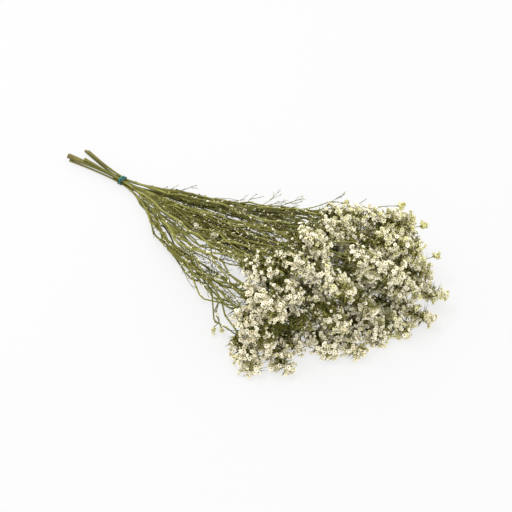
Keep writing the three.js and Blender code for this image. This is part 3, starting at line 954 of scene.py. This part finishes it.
def strayingPath(route, spray, stray, widening, rng):  # leaves its stem's route and turns on its way
    at = lengthsAlong(route)
    leaves = lerp(*strands["start"], rng.random() ** strands["startPower"]) * at[-1]
    first = pointsAt(leaves, at, route)
    last = spray["base"] + spray["axis"] * spray["length"] * rng.uniform(*strands["endSpan"])
    last = last + rng.normal(0, strands["strayEnd"], 3)
    (near, u, h), (far, lastU, lastH) = fanPlace(first), fanPlace(last)
    turns = max(3, round((far - near) / strands["turnSpacing"]))
    t = np.linspace(0, 1, turns + 1)
    swing = np.sin(math.pi * t)
    across = lerp(u, lastU, t ** strands["lateTurn"]) * (1 + widening * swing)
    across += rng.normal(0, stray, turns + 1) * swing
    up = lerp(h, lastH, t ** strands["lateTurn"]) + rng.normal(0, strands["strayUp"], turns + 1) * swing
    shares = np.linspace(0, 1, max(4, math.ceil((far - near) / strands["step"])))
    distance, up = lerp(near, far, shares), np.interp(shares, t, np.clip(up, 0, 1))
    low, high = edgesAt(distance, up)
    inset = 1 - strands["inset"] * rng.random() ** 2
    path = placeAll(distance, np.clip(np.interp(shares, t, across), low * inset, high * inset), up)
    shares = shares[:, None]
    return path + (first - path[0]) * (1 - shares) ** 2 + (last - path[-1]) * shares ** 2


def addCutEnd(pile, path, radius, rng, redness):  # the slanted face left by the knife, its pith and its bark
    slant = rng.uniform(*strands["cutSlant"])
    rings, sides = np.array(strands["cutRings"]), strands["stemSides"]
    along = unit(path[1] - path[0])
    centres = path[0] + along * rings[:, :1] * radius
    points = tubePoints(centres, rings[:, 1] * radius, sides, strands["stemRibs"] * 0.5)
    lean = (points - centres[:, None])[:, :, 2:] * slant
    points[:-1] += along * lean[:-1]
    paint = plainPaint(len(rings), sides, 0.5)
    paint[:, :, 0] = redness
    paint[:, :, 2] = np.minimum(rings[:, 2:] * lerp(0.6, 1, redness), lerp(1, 0.62, redness))
    pile.add(points, tubeTriangles(len(rings), sides), paint)


def dressStem(number, pile, rng, lines, thicknesses, routes):
    places, ends = [], []
    for k, (line, thickness) in enumerate(zip(lines, thicknesses)):
        if k == 0:
            age = np.clip((strands["oldFrom"] - line[:, 0]) / strands["oldOver"], 0, 1)
            sides, tint, ribs = strands["stemSides"], strands["stemTint"], strands["stemRibs"]
            places += addStrand(pile, line, thickness, sides, tint, rng, ribs, age)
            isRed = thickness[0] > strands["redCutFrom"]
            addCutEnd(pile, line, thickness[0], rng, 1 if isRed else strands["youngCut"])
        else:
            tint = rng.uniform(*strands["branchTint"])
            places += addStrand(pile, line, thickness, strands["sides"], tint, rng)
    widening = stems["plans"][number][3] / 4
    for route, spray in zip(routes, carried[number]):
        fewer = 1 if spray["u"] < strands["nearSide"] else 0
        strays = [strands["companionStray"]] * (strands["companions"] - fewer)
        strays += [strands["wandererStray"]] * (strands["wanderers"] - fewer)
        for stray in strays:
            path = strayingPath(route, spray, stray, widening, rng)
            thickest = strands["thickest"] + strands["nearThicker"] * fewer
            radii = np.linspace(*strands["radius"], len(path)) * rng.uniform(strands["thinnest"], thickest)
            places += addStrand(pile, path, radii, strands["fineSides"], rng.uniform(*strands["tint"]), rng)
            ends.append((path[-1], unit(path[-1] - path[-3])))
    for carrier, *sprig in sprigs["all"]:
        if carrier == number:
            addSprig(pile, *sprig, places, rng)
    addTwigs(pile, places, int(twigs["perStrand"] * (len(lines) + len(ends))), rng)
    seats, leaves = [], []
    for point, along in ends:
        reach = rng.uniform(*strands["endReach"])
        addCluster(pile, point - along * 2, point + along * 2, along, reach, rng, seats, leaves, 2)
    addFloretsAt(pile, seats, rng, strands["endTint"])
    addLeaves(pile, leaves, rng)


# Sprigs: thin strands that carry a few florets out of the head, above the stems or low between the lobes

sprigs = {
    "radius": (0.7, 0.4),
    "strandTint": 0.5,
    "footBehind": 12,  # how far behind the way's first point a sprig should leave its strand
    "roundings": 5,
    "tuftReach": 8,  # sprigs whose spikelets reach this far have some below the tip too
    "all": [  # number of the stem, way to the tip, spikelets there, their reach, tint of the florets
        (5, [(240, 52, 60), (259, 64, 66), (268, 75, 70), (279, 81, 72)], 3, 5, 0.0),
        (5, [(241, 52, 56), (278, 78, 60), (298, 95, 62), (313, 116, 64), (323, 128, 62)], 4, 5, 0.0),
        (5, [(278, 78, 60), (298, 95, 62), (315, 105, 60), (324, 115, 56)], 3, 5, 0.05),
        (3, [(318, 112, 50), (329, 121, 50), (335, 135, 48)], 3, 5, 0.1),
        (3, [(334, 111, 46), (345, 124, 44), (350, 139, 40)], 3, 5, 0.0),
        (3, [(376, 86, 42), (384, 97, 38), (388, 111, 34)], 3, 5, 0.1),
        (3, [(412, 60, 24), (419, 70, 22), (423, 77, 20)], 5, 8, 0.35),
        (0, [(424, 40, 16), (430, 44, 16)], 5, 8, 0.4),
        (0, [(261, -51, 70), (283, -54, 74)], 4, 5, 0.4),
        (4, [(285, -56, 70), (301, -57, 72)], 4, 5, 0.4),
        (4, [(129, -18, 28), (145, -23, 30)], 2, 5, 0.45),
        (4, [(159, -23, 34), (174, -26, 36)], 3, 5, 0.45),
        (2, [(311, -33, 15), (327, -34, 15)], 5, 12, 0.6),
        (2, [(323, -34, 13), (339, -36, 13)], 5, 12, 0.6),
        (2, [(326, -2, 16), (342, -2, 16)], 5, 12, 0.6),
        (2, [(338, -3, 15), (354, -3, 15)], 5, 12, 0.6),
        (2, [(309, -47, 12), (325, -49, 12)], 5, 12, 0.6),
        (2, [(241, -91, 8), (252, -102, 8), (258, -115, 7)], 1, 5, 0.2),
        (2, [(241, -91, 8), (256, -103, 8), (265, -111, 7)], 1, 5, 0.2),
    ],
}


def sprigPath(way, places):  # starts on the strand that comes nearest to the way's first point
    way = np.array(way, float)
    near = [place[0] for place in places if place[0][0] < way[0][0]]
    first = min(near, key=lambda point: np.linalg.norm(point - way[0] + [sprigs["footBehind"], 0, 0]))
    path, _ = smoothPath(np.vstack([first, way]), np.ones(len(way) + 1), strands["step"])
    for _ in range(sprigs["roundings"]):
        path[1:-1] = (path[:-2] + path[1:-1] * 2 + path[2:]) / 4
    return path


def addSprig(pile, way, count, reach, tint, places, rng):
    path = sprigPath(way, places)
    radii = np.linspace(*sprigs["radius"], len(path))
    addStrand(pile, path, radii, strands["fineSides"], sprigs["strandTint"], rng)
    outward = unit(path[-1] - path[-3])
    seats, leaves = [], []
    addCluster(pile, path[-1] - outward * 2, path[-1], outward, reach, rng, seats, leaves, count)
    if reach == sprigs["tuftReach"]:
        addCluster(pile, path[-3], path[-3] + outward * 2, outward, reach, rng, seats, leaves, count)
    addFloretsAt(pile, seats, rng, tint)
    addLeaves(pile, leaves, rng, "tip")


# Sprays: short curved spikelets round each spray's axis, with florets in two ranks on their outer side

spikelets = {
    "perCluster": 5,
    "clusterSpan": (0.1, 0.84),  # of the spray
    "florets": 12,
    "oddShare": 0.35,  # of the spikelets that have one more, and of those that have one less
    "points": 5,
    "lowest": 0.4,
    "reach": (9.0, 14.5),
    "tipReach": 0.12,  # how much less it is at the tip of the spray
    "spread": (14, 68),  # degrees away from the middle of the cluster
    "reachShare": (0.8, 1.1),  # from spikelet to spikelet
    "unevenness": 0.25,
    "floretsFrom": 0.3,  # share of the spikelet that is bare
    "floretStray": 0.7,
    "facingStray": 0.16,
    "radius": (0.5, 0.3),
    "stalkTint": (0.1, 0.7),
    "openShare": 0.8,
    "pointedShare": 0.6,
    "size": (0.6, 0.9),
    "bracts": 4,  # to each spikelet
    "bractLean": (0.4, 1.4),
    "tintStray": 0.17,  # from floret to floret
    "sprayTintStray": 0.07,
    "tint": [  # place across the fan, tint of the florets there: green at 0, warm at 1
        (-1, 0.58), (-0.6, 0.5), (-0.3, 0.36), (0.2, 0.34), (0.5, 0.24), (1, 0.22),
    ],
}


# Clearings are shafts seen from the camera where florets give way to olive leaves. They are partly real gaps
# between the clumps and stems reaching into the head, and partly painted shade where the head's dark valleys
# fall.
clearingAxis = np.array([0.483, -0.576, 0.662])  # towards the camera
clearingDepth = 0.88  # how much of the squared depth isn't counted, so that a clearing is a short shaft
clearingsAndShade = np.array([  # x, y, z, radius and share of the florets that don't open there
    (256, -56, 62, 14, 0.93), (263, -44, 66, 14, 0.93), (271, -34, 68, 14, 0.93),
    (278, -20, 70, 13, 0.93), (282, -4, 70, 12, 0.93), (277, -57, 66, 12, 0.93),
    (286, -44, 68, 12, 0.93), (291, -27, 70, 12, 0.93), (301, -48, 70, 9, 0.93),
    (302, -62, 66, 9, 0.93), (304, -73, 60, 9, 0.93), (318, -92, 28, 11, 0.93),
    (331, -88, 30, 12, 0.93), (345, -81, 40, 12, 0.93), (353, -66, 46, 12, 0.93),
    (359, -49, 52, 11, 0.93), (365, -31, 55, 11, 0.93), (374, -15, 55, 10, 0.93),
    (381, 3, 55, 10, 0.93), (385, 19, 55, 10, 0.93), (337, -5, 66, 9, 0.93),
    (343, 13, 66, 9, 0.93), (258, 44, 68, 11, 0.4), (271, 54, 70, 11, 0.45),
    (285, 61, 70, 10, 0.4), (296, 72, 68, 9, 0.35), (302, 47, 70, 10, 0.4),
    (325, 40, 70, 10, 0.6), (303, -107, 26, 9, 0.6), (319, -105, 26, 9, 0.6),
    (290, -123, 12, 9, 0.45), (403, 61, 30, 7, 0.5), (374, 64, 50, 7, 0.5),
])


def addSpikelet(pile, start, root, middle, end, rng, seats, leaves):
    t = np.linspace(0, 1, spikelets["points"])[:, None]
    path = start * (1 - t) ** 3 + root * 3 * t * (1 - t) ** 2 + middle * 3 * t * t * (1 - t) + end * t ** 3
    path[:, 2] = np.maximum(path[:, 2], floorGap + spikelets["lowest"])
    addTube(pile, path, np.linspace(*spikelets["radius"], len(t)), 3, rng.uniform(*spikelets["stalkTint"]))
    outward = unit(middle - start)
    at = lengthsAlong(path)
    along = directionsAlong(path)
    for _ in range(spikelets["bracts"]):
        i = rng.integers(0, len(t) - 2)
        leaves.append((path[i], unit(along[i] + aside(along[i], rng) * rng.uniform(*spikelets["bractLean"]))))
    oddShare = spikelets["oddShare"]
    count = spikelets["florets"] + (rng.random() < oddShare) - (rng.random() < oddShare)
    for k in range(count):
        share = lerp(spikelets["floretsFrom"], 1, k / max(1, count - 1))
        where = pointsAt(share * at[-1], at, path) + rng.normal(0, spikelets["floretStray"], 3)
        tangent = unit(pointsAt(share * at[-1], at, along))
        lateral = np.cross(tangent, outward) * (1 if k % 2 else -1)
        if k + 1 == count:
            facing = tangent + outward * 0.3
        else:
            facing = tangent * 0.4 + outward * 0.9 + lateral * rng.uniform(0.2, 0.9)
        seats.append((where, unit(facing + rng.normal(0, spikelets["facingStray"], 3))))


def addCluster(pile, start, root, outward, reach, rng, seats, leaves, count):
    turn = rng.uniform(0, 2 * math.pi)
    across = aside(outward, rng)
    upward = np.cross(outward, across)
    for k in range(count):
        uneven = rng.uniform(-spikelets["unevenness"], spikelets["unevenness"])
        angle = turn + 2 * math.pi * (k + uneven) / count
        sideways = across * math.cos(angle) + upward * math.sin(angle)
        spread = math.radians(rng.uniform(*spikelets["spread"]))
        length = reach * rng.uniform(*spikelets["reachShare"])
        end = root + (outward * math.cos(spread) + sideways * math.sin(spread)) * length
        middle = root + outward * length * 0.55 + sideways * length * 0.12
        addSpikelet(pile, start, root, middle, end, rng, seats, leaves)


def addFloretsAt(pile, seats, rng, tint):  # returns how many
    places, facing = asArrays(seats)
    gaps = places[:, None] - clearingsAndShade[None, :, :3]
    inward = gaps @ clearingAxis
    gaps = np.sqrt((gaps ** 2).sum(2) - clearingDepth * inward ** 2) / clearingsAndShade[None, :, 3]
    kept = rng.random(len(seats)) > (clearingsAndShade[None, :, 4] * np.exp(-gaps ** 6)).max(1)
    # each floret in a clearing gives way to two olive leaves, partly a real gap and partly painted shade
    addLeaves(pile, [(foot, unit(rng.normal(0, 1, 3) + [0.8, 0, 0])) for foot in places[~kept]] * 2, rng)
    places, facing = places[kept], facing[kept]
    count = len(places)
    isOpen = rng.random(count) < spikelets["openShare"]
    tints = np.clip(rng.normal(tint, spikelets["tintStray"], count), 0, 1)
    sizes = rng.uniform(*spikelets["size"], count)
    isPointed = isOpen & (rng.random(count) < spikelets["pointedShare"])
    shapes = [(floretTemplate, isOpen & ~isPointed), (pointedTemplate, isPointed), (budTemplate, ~isOpen)]
    for shape, chosen in shapes:
        addCopies(pile, shape, chosen, places, facing, sizes, tints, rng)
    return count


def addLeaves(pile, leaves, rng, kind="head", paleShare=0.0):
    count = len(leaves)
    if not count:
        return
    feet, directions = asArrays(leaves)
    keys = [kind + "Length", kind + "Width", "tint", "paperiness"]
    lengths, widths, tints, papery = (rng.uniform(*bracts[key], count) for key in keys)
    isPale = rng.random(count) < paleShare
    for chosen, finish in ((isPale, "floret"), (~isPale, "stalk")):
        if chosen.any():
            values = [each[chosen] for each in (feet, directions, lengths, widths, tints)]
            addBracts(pile, *values, rng, papery[chosen] if finish == "floret" else 0, finish)


core = {
    "points": 10,
    "span": (-0.1, 0.95),  # of the spray's own length
    "radius": (0.85, 0.45),
    "sides": 5,
    "crook": 0.5,
    "tint": 0.3,
}


def addCore(pile, spray, rng):  # the thin stalk of a spray, with the leaves round it
    count, axis = core["points"], spray["axis"]
    spine = spray["base"] + axis * spray["length"] * np.linspace(*core["span"], count)[:, None]
    spine[1:-1] += rng.normal(0, core["crook"], (count - 2, 3))
    addTube(pile, spine, np.linspace(*core["radius"], count), core["sides"], core["tint"])
    leaves = []
    for _ in range(bracts["coreCount"]):
        i = rng.integers(1, count - 1)
        leaves.append((spine[i], unit(axis * rng.uniform(0.1, 0.9) + aside(axis, rng))))
    addLeaves(pile, leaves, rng, "core", bracts["paleShare"] / 2)
    blades = [(spine[rng.integers(0, count)], aside(axis, rng)) for _ in range(bracts["bladeCount"])]
    addLeaves(pile, blades, rng, "blade")


def dressSpray(spray, pile, rng):  # returns how many florets it has
    addCore(pile, spray, rng)
    axis = spray["axis"]
    turn = np.array(Vector((0, 0, 1)).rotation_difference(Vector(axis)).to_matrix())
    golden = math.pi * (3 - math.sqrt(5))
    seats, leaves = [], []
    for k in range(sprays["clusters"]):
        share = (k + 0.5) / sprays["clusters"]
        isTip = k + 1 == sprays["clusters"]
        lean = 0 if isTip else math.radians(lerp(sprays["leanFoot"], sprays["leanTip"], share))
        azimuth = spray["phase"] + golden * k
        across = np.array([math.cos(azimuth), math.sin(azimuth), 0])
        outward = turn @ (across * math.sin(lean) + np.array([0, 0, math.cos(lean)]))
        seat = spray["base"] + axis * spray["length"] * lerp(*spikelets["clusterSpan"], share)
        root = seat + outward * sprays["clusterSeat"]
        reach = rng.uniform(*spikelets["reach"]) * (1 - spikelets["tipReach"] * share)
        addCluster(pile, seat - axis * 4, root, outward, reach, rng, seats, leaves, spikelets["perCluster"])
    addLeaves(pile, leaves, rng, "head", bracts["paleShare"])
    stray = spikelets["sprayTintStray"]
    tint = fromTable(spray["u"], spikelets["tint"]) + rng.uniform(-stray, stray)
    return addFloretsAt(pile, seats, rng, tint)


# The elastic: two turns of a flat band with rounded edges, one upright and one slanted over it

elastic = {
    "steps": 120,
    "width": 2.6,
    "slant": 0.85,  # of the turn that lies over the other
    "ribs": 7,  # fine ridges along the band
    "ribDepth": 0.05,
    "edge": 0.32,
    "roundings": 4,
    # The slanted turn's tint gives it the deep tone as painted shade, since both turns are one teal band.
    "tints": (0.1, 0.9),  # of the upright turn and of the slanted one
    "wander": 0.25,  # of the upright turn, to and fro along the stems
}


def smoothRound(values, rounds):
    for _ in range(rounds):
        values = (np.roll(values, 1) + values * 2 + np.roll(values, -1)) / 4
    return values


def elasticTurn(pile, slant, lift, tint, wander):
    inner = bundleOutline(tie["gap"] + lift, elastic["steps"])
    inner = np.stack([smoothRound(inner[:, k], elastic["roundings"]) for k in range(3)], 1)
    normal = np.gradient(np.vstack([inner[-1:], inner, inner[:1]]), axis=0)[1:-1]
    outward = unit(np.stack([0 * normal[:, 0], normal[:, 2], -normal[:, 1]], 1))
    half, thick, edge = elastic["width"] / 2, tie["thickness"], elastic["edge"]
    across = np.linspace(-half + edge, half - edge, 2 * elastic["ribs"] + 1)
    section = [(x, thick - (0 if k % 2 else elastic["ribDepth"])) for k, x in enumerate(across)]
    section += [(half, thick - edge), (half, edge), (half - edge, 0)]
    section = np.array(section + [(edge - half, 0), (-half, edge), (-half, thick - edge)])
    middle = bundleFloor + bunch["tiedHeight"] / 2
    rings = inner[:, None] + outward[:, None] * section[None, :, 1:]
    drift = wander * np.sin(np.linspace(0, 2 * math.pi, len(inner), endpoint=False) * 2)
    rings[:, :, 0] = section[None, :, 0] + slant * (rings[:, :, 2] - middle) + drift[:, None]
    count, sides = len(inner), len(section)
    ring, side = gridPlaces(count, sides)
    a, b = ring * sides + side, ring * sides + (side + 1) % sides
    c, d = (ring + 1) % count * sides + side, (ring + 1) % count * sides + (side + 1) % sides
    triangles = np.concatenate([np.stack([a, c, b], 1), np.stack([b, c, d], 1)])
    pile.add(rings, triangles, plainPaint(count, sides, tint))


# Materials

class Socket:  # a shader value that Python's own operators work on
    def __init__(self, shader, socket):
        self.shader, self.socket = shader, socket

    def __add__(self, other):
        return self.shader.maths("ADD", self, other)

    def __sub__(self, other):
        return self.shader.maths("SUBTRACT", self, other)

    def __rsub__(self, other):
        return self.shader.maths("SUBTRACT", other, self)

    def __mul__(self, other):
        return self.shader.maths("MULTIPLY", self, other)

    __radd__ = __add__
    __rmul__ = __mul__


class Shader:
    def __init__(self, name, **constants):
        self.material = bpy.data.materials.new(name)
        self.material.use_nodes = True
        self.tree = self.material.node_tree
        self.surface = self.tree.nodes["Principled BSDF"]
        for key, value in constants.items():
            self.surface.inputs[key.replace("_", " ")].default_value = value

    def node(self, kind, settings, sockets, output=0):
        made = self.tree.nodes.new(kind)
        for key, value in settings.items():
            setattr(made, key, value)
        for key, value in sockets.items():
            self.feed(made.inputs[key], value)
        return Socket(self, made.outputs[output])

    def feed(self, target, value):
        if isinstance(value, Socket):
            self.tree.links.new(value.socket, target)
        else:
            target.default_value = value

    def maths(self, operation, first, second):
        return self.node("ShaderNodeMath", {"operation": operation}, {0: first, 1: second})

    def mix(self, share, first, second):
        return self.node("ShaderNodeMix", {"data_type": "RGBA"}, {0: share, 6: first, 7: second}, 2)

    def smooth(self, value, low, high):  # 0 below low, 1 above high
        sockets = {"Value": value, "From Min": low, "From Max": high}
        return self.node("ShaderNodeMapRange", {"interpolation_type": "SMOOTHSTEP"}, sockets)

    def noise(self, scale, detail=3, stretch=(1, 1, 1)):
        place = self.node("ShaderNodeTexCoord", {}, {}, 3)  # in the piece's own metres
        place = self.node("ShaderNodeMapping", {}, {"Vector": place, "Scale": stretch})
        return self.node("ShaderNodeTexNoise", {}, {"Vector": place, "Scale": scale, "Detail": detail})

    def paint(self):  # the four numbers at each point
        colour = self.node("ShaderNodeAttribute", {"attribute_name": "paint"}, {})
        split = self.node("ShaderNodeSeparateColor", {}, {"Color": colour})
        sockets = [*split.socket.node.outputs, colour.socket.node.outputs["Alpha"]]
        return [Socket(self, socket) for socket in sockets]

    def finish(self, colour, roughness, height=None, depth=0.0003, strength=0.5):
        self.feed(self.surface.inputs["Base Color"], colour)
        self.feed(self.surface.inputs["Roughness"], roughness)
        if height is not None:
            sockets = {"Height": height, "Strength": strength, "Distance": depth}
            self.feed(self.surface.inputs["Normal"], self.node("ShaderNodeBump", {}, sockets))
        return self.material


def tone(red, green, blue):  # from the numbers of a picture, 0 to 255, to light
    shares = [value / 255 for value in (red, green, blue)]
    linear = [share / 12.92 if share <= 0.04045 else ((share + 0.055) / 1.055) ** 2.4 for share in shares]
    return (*linear, 1)


floretTones = {
    "rim": tone(243, 239, 219),
    "rimWarm": tone(236, 225, 192),
    "rimGreen": tone(221, 220, 162),
    "throat": tone(206, 200, 122),
    "foot": tone(130, 130, 44),
    "heart": tone(92, 72, 38),
    "vein": tone(150, 124, 80),
}

stemTones = {
    "olive": tone(93, 91, 26),
    "pale": tone(136, 135, 64),
    "dark": tone(60, 56, 14),
    "old": tone(104, 86, 52),
    "cutBark": tone(90, 56, 40),
    "pith": tone(176, 154, 110),
    "young": tone(140, 142, 64),
}

tieTones = {
    "teal": tone(25, 116, 108),
    # the darker colour of the threads, and painted shade on the slanted turn
    "deepThreadsAndShade": tone(14, 68, 70),
}


def makeFloretMaterial():
    shader = Shader("papery floret", Specular_IOR_Level=0.25)
    papery, tint, heart, _ = shader.paint()
    rim = shader.mix(shader.smooth(tint, 0.35, 1.0), floretTones["rim"], floretTones["rimWarm"])
    rim = shader.mix(1 - shader.smooth(tint, 0.05, 0.28), rim, floretTones["rimGreen"])
    colour = shader.mix(shader.smooth(papery, 0.35, 0.85), floretTones["throat"], rim)
    colour = shader.mix(shader.smooth(papery, 0.0, 0.4), floretTones["foot"], colour)
    colour = shader.mix(shader.smooth(heart, 0.5, 0.8), colour, floretTones["heart"])
    crinkle = shader.noise(900, 3)
    mottled = shader.mix(shader.smooth(crinkle, 0.35, 0.7) * 0.2, colour, floretTones["vein"])
    return shader.finish(mottled, 0.62 + crinkle * 0.25, crinkle, 0.0004, 0.45)


def makeStemMaterial():
    shader = Shader("dry stalk", Specular_IOR_Level=0.35)
    age, tint, cut, rib = shader.paint()
    streaks = shader.noise(420, 4, (0.12, 1, 1))
    patches = shader.noise(38, 2)
    shade = tint + patches * 0.5
    colour = shader.mix(shader.smooth(shade, 0.4, 1.25), stemTones["olive"], stemTones["pale"])
    colour = shader.mix(1 - shader.smooth(shade, -0.25, 0.35), colour, stemTones["dark"])
    colour = shader.mix(shader.smooth(streaks, 0.5, 0.75) * 0.7, colour, stemTones["dark"])
    colour = shader.mix(rib * 0.15, colour, stemTones["pale"])
    colour = shader.mix(shader.smooth(age + patches * 0.4, 0.5, 1.3) * 0.5, colour, stemTones["old"])
    colour = shader.mix(shader.smooth(cut, 0.05, 0.5), colour, stemTones["cutBark"])
    colour = shader.mix(shader.smooth(cut, 0.7, 1.0), colour, stemTones["pith"])
    return shader.finish(colour, 0.5 + streaks * 0.3, streaks, 0.0004, 0.5)


def makeBudMaterial():
    shader = Shader("dry bud", Specular_IOR_Level=0.3)
    papery, tint, _, _ = shader.paint()
    speckle = shader.noise(700, 2)
    colour = shader.mix(shader.smooth(papery, 0.1, 0.8), stemTones["olive"], stemTones["young"])
    colour = shader.mix(shader.smooth(tint, 0.55, 0.7), colour, stemTones["dark"])
    pale = (1 - shader.smooth(tint, 0.15, 0.3)) * shader.smooth(papery, 0.1, 0.6)
    colour = shader.mix(pale, colour, floretTones["throat"])
    return shader.finish(colour, 0.6 + speckle * 0.2, speckle, 0.0003, 0.4)


def makeElasticMaterial():
    shader = Shader("teal elastic", Specular_IOR_Level=0.45)
    _, tint, _, _ = shader.paint()
    threads = shader.noise(1500, 2, (1, 0.25, 0.25))
    # painted shade: the slanted turn's tint mixes in the deep tone, while the darker threads below are real
    colour = shader.mix(tint, tieTones["teal"], tieTones["deepThreadsAndShade"])
    colour = shader.mix(shader.smooth(threads, 0.45, 0.7) * 0.35, colour, tieTones["deepThreadsAndShade"])
    return shader.finish(colour, 0.5 + threads * 0.25, threads, 0.0002, 0.5)


floretMaterial, stemMaterial = makeFloretMaterial(), makeStemMaterial()
budMaterial, elasticMaterial = makeBudMaterial(), makeElasticMaterial()
print("materials made")


# Pieces

materials = [stemMaterial, budMaterial, floretMaterial]  # in the order of finishes
seeds = {"stem": 500, "spray": 900}
counted = 0
for number in range(len(stems["plans"])):
    pile = Pile()
    dressStem(number, pile, np.random.default_rng(seeds["stem"] + number), *followBranches(number))
    name = "stem_" + str(number + 1)
    counted += makePiece("dressed_" + name, pile, materials, name)
print("stems made,", counted, "triangles")

florets, counted = 0, 0
for number, spray in enumerate(planned):
    pile = Pile()
    florets += dressSpray(spray, pile, np.random.default_rng(seeds["spray"] + number))
    name = "spray_" + str(number + 1)
    counted += makePiece("dressed_" + name, pile, materials, name)
print("sprays made,", florets, "florets,", counted, "triangles")

pile = Pile()
# the upright turn in teal, the slanted one darker as painted shade
elasticTurn(pile, 0, 0, elastic["tints"][0], elastic["wander"])
elasticTurn(pile, elastic["slant"], tie["lift"], elastic["tints"][1], 0)
makePiece("dressed_tie", pile, [elasticMaterial], "tie")
print("tie made")


# Floor, light and camera

studio = {
    "azimuth": 41,
    "elevation": 42,
    "distance": 1.7,
    "lens": 97,
    "sensor": 36,
    "picture": 512,
    "tieAt": (122, 179),  # where the tie shows in the picture
    "tieHeight": 9,
    "floor": (0.14, 0.14, 0.14, 1),
    "glow": 0.72,  # of the floor, so that shadows on it stay pale
    "world": 1.48,
    "key": 17,
    "keySize": 0.6,
    "keyAt": (-0.7, 1.0, 0.55, 0.9),  # to the right, up and back as the camera sees it, and higher
}


def makeStudio():
    turn, tilt = math.radians(studio["azimuth"]), math.radians(studio["elevation"])
    back = Vector((math.sin(turn) * math.cos(tilt), -math.cos(turn) * math.cos(tilt), math.sin(tilt)))
    right = Vector((math.cos(turn), math.sin(turn), 0))
    up = back.cross(right)
    pixel = studio["distance"] / (studio["lens"] / studio["sensor"] * studio["picture"])
    tied = Vector((*(tiedAt[:2] * mm), studio["tieHeight"] * mm))
    rightwards, downwards = (studio["picture"] / 2 - place for place in studio["tieAt"])
    aim = tied + right * rightwards * pixel - up * downwards * pixel
    camera = bpy.data.objects.new("camera", bpy.data.cameras.new("camera"))
    camera.data.lens = studio["lens"]
    camera.rotation_mode = "QUATERNION"
    camera.location = aim + back * studio["distance"]
    camera.rotation_quaternion = (-back).to_track_quat("-Z", "Y")
    bpy.context.scene.collection.objects.link(camera)
    bpy.context.scene.camera = camera

    bpy.ops.mesh.primitive_plane_add(size=12, location=(0, 0, 0))
    floor = bpy.context.object
    floor.name = "floor"
    glow = {"Emission_Color": (1, 1, 1, 1), "Emission_Strength": studio["glow"]}
    plain = Shader("pale floor", Specular_IOR_Level=0.1, **glow)
    floor.data.materials.append(plain.finish(studio["floor"], 0.9))

    key = bpy.data.objects.new("key", bpy.data.lights.new("key", "AREA"))
    key.data.energy = studio["key"]
    key.data.size = studio["keySize"]
    keyRight, keyUp, keyBack, keyHigher = studio["keyAt"]
    key.location = aim + right * keyRight + up * keyUp + back * keyBack + Vector((0, 0, keyHigher))
    key.rotation_mode = "QUATERNION"
    key.rotation_quaternion = (aim - key.location).to_track_quat("-Z", "Y")
    bpy.context.scene.collection.objects.link(key)

    world = bpy.data.worlds.new("studio")
    bpy.context.scene.world = world
    world.use_nodes = True
    world.node_tree.nodes["Background"].inputs["Color"].default_value = (1, 1, 1, 1)
    world.node_tree.nodes["Background"].inputs["Strength"].default_value = studio["world"]
    bpy.context.scene.view_settings.view_transform = "Standard"


makeStudio()
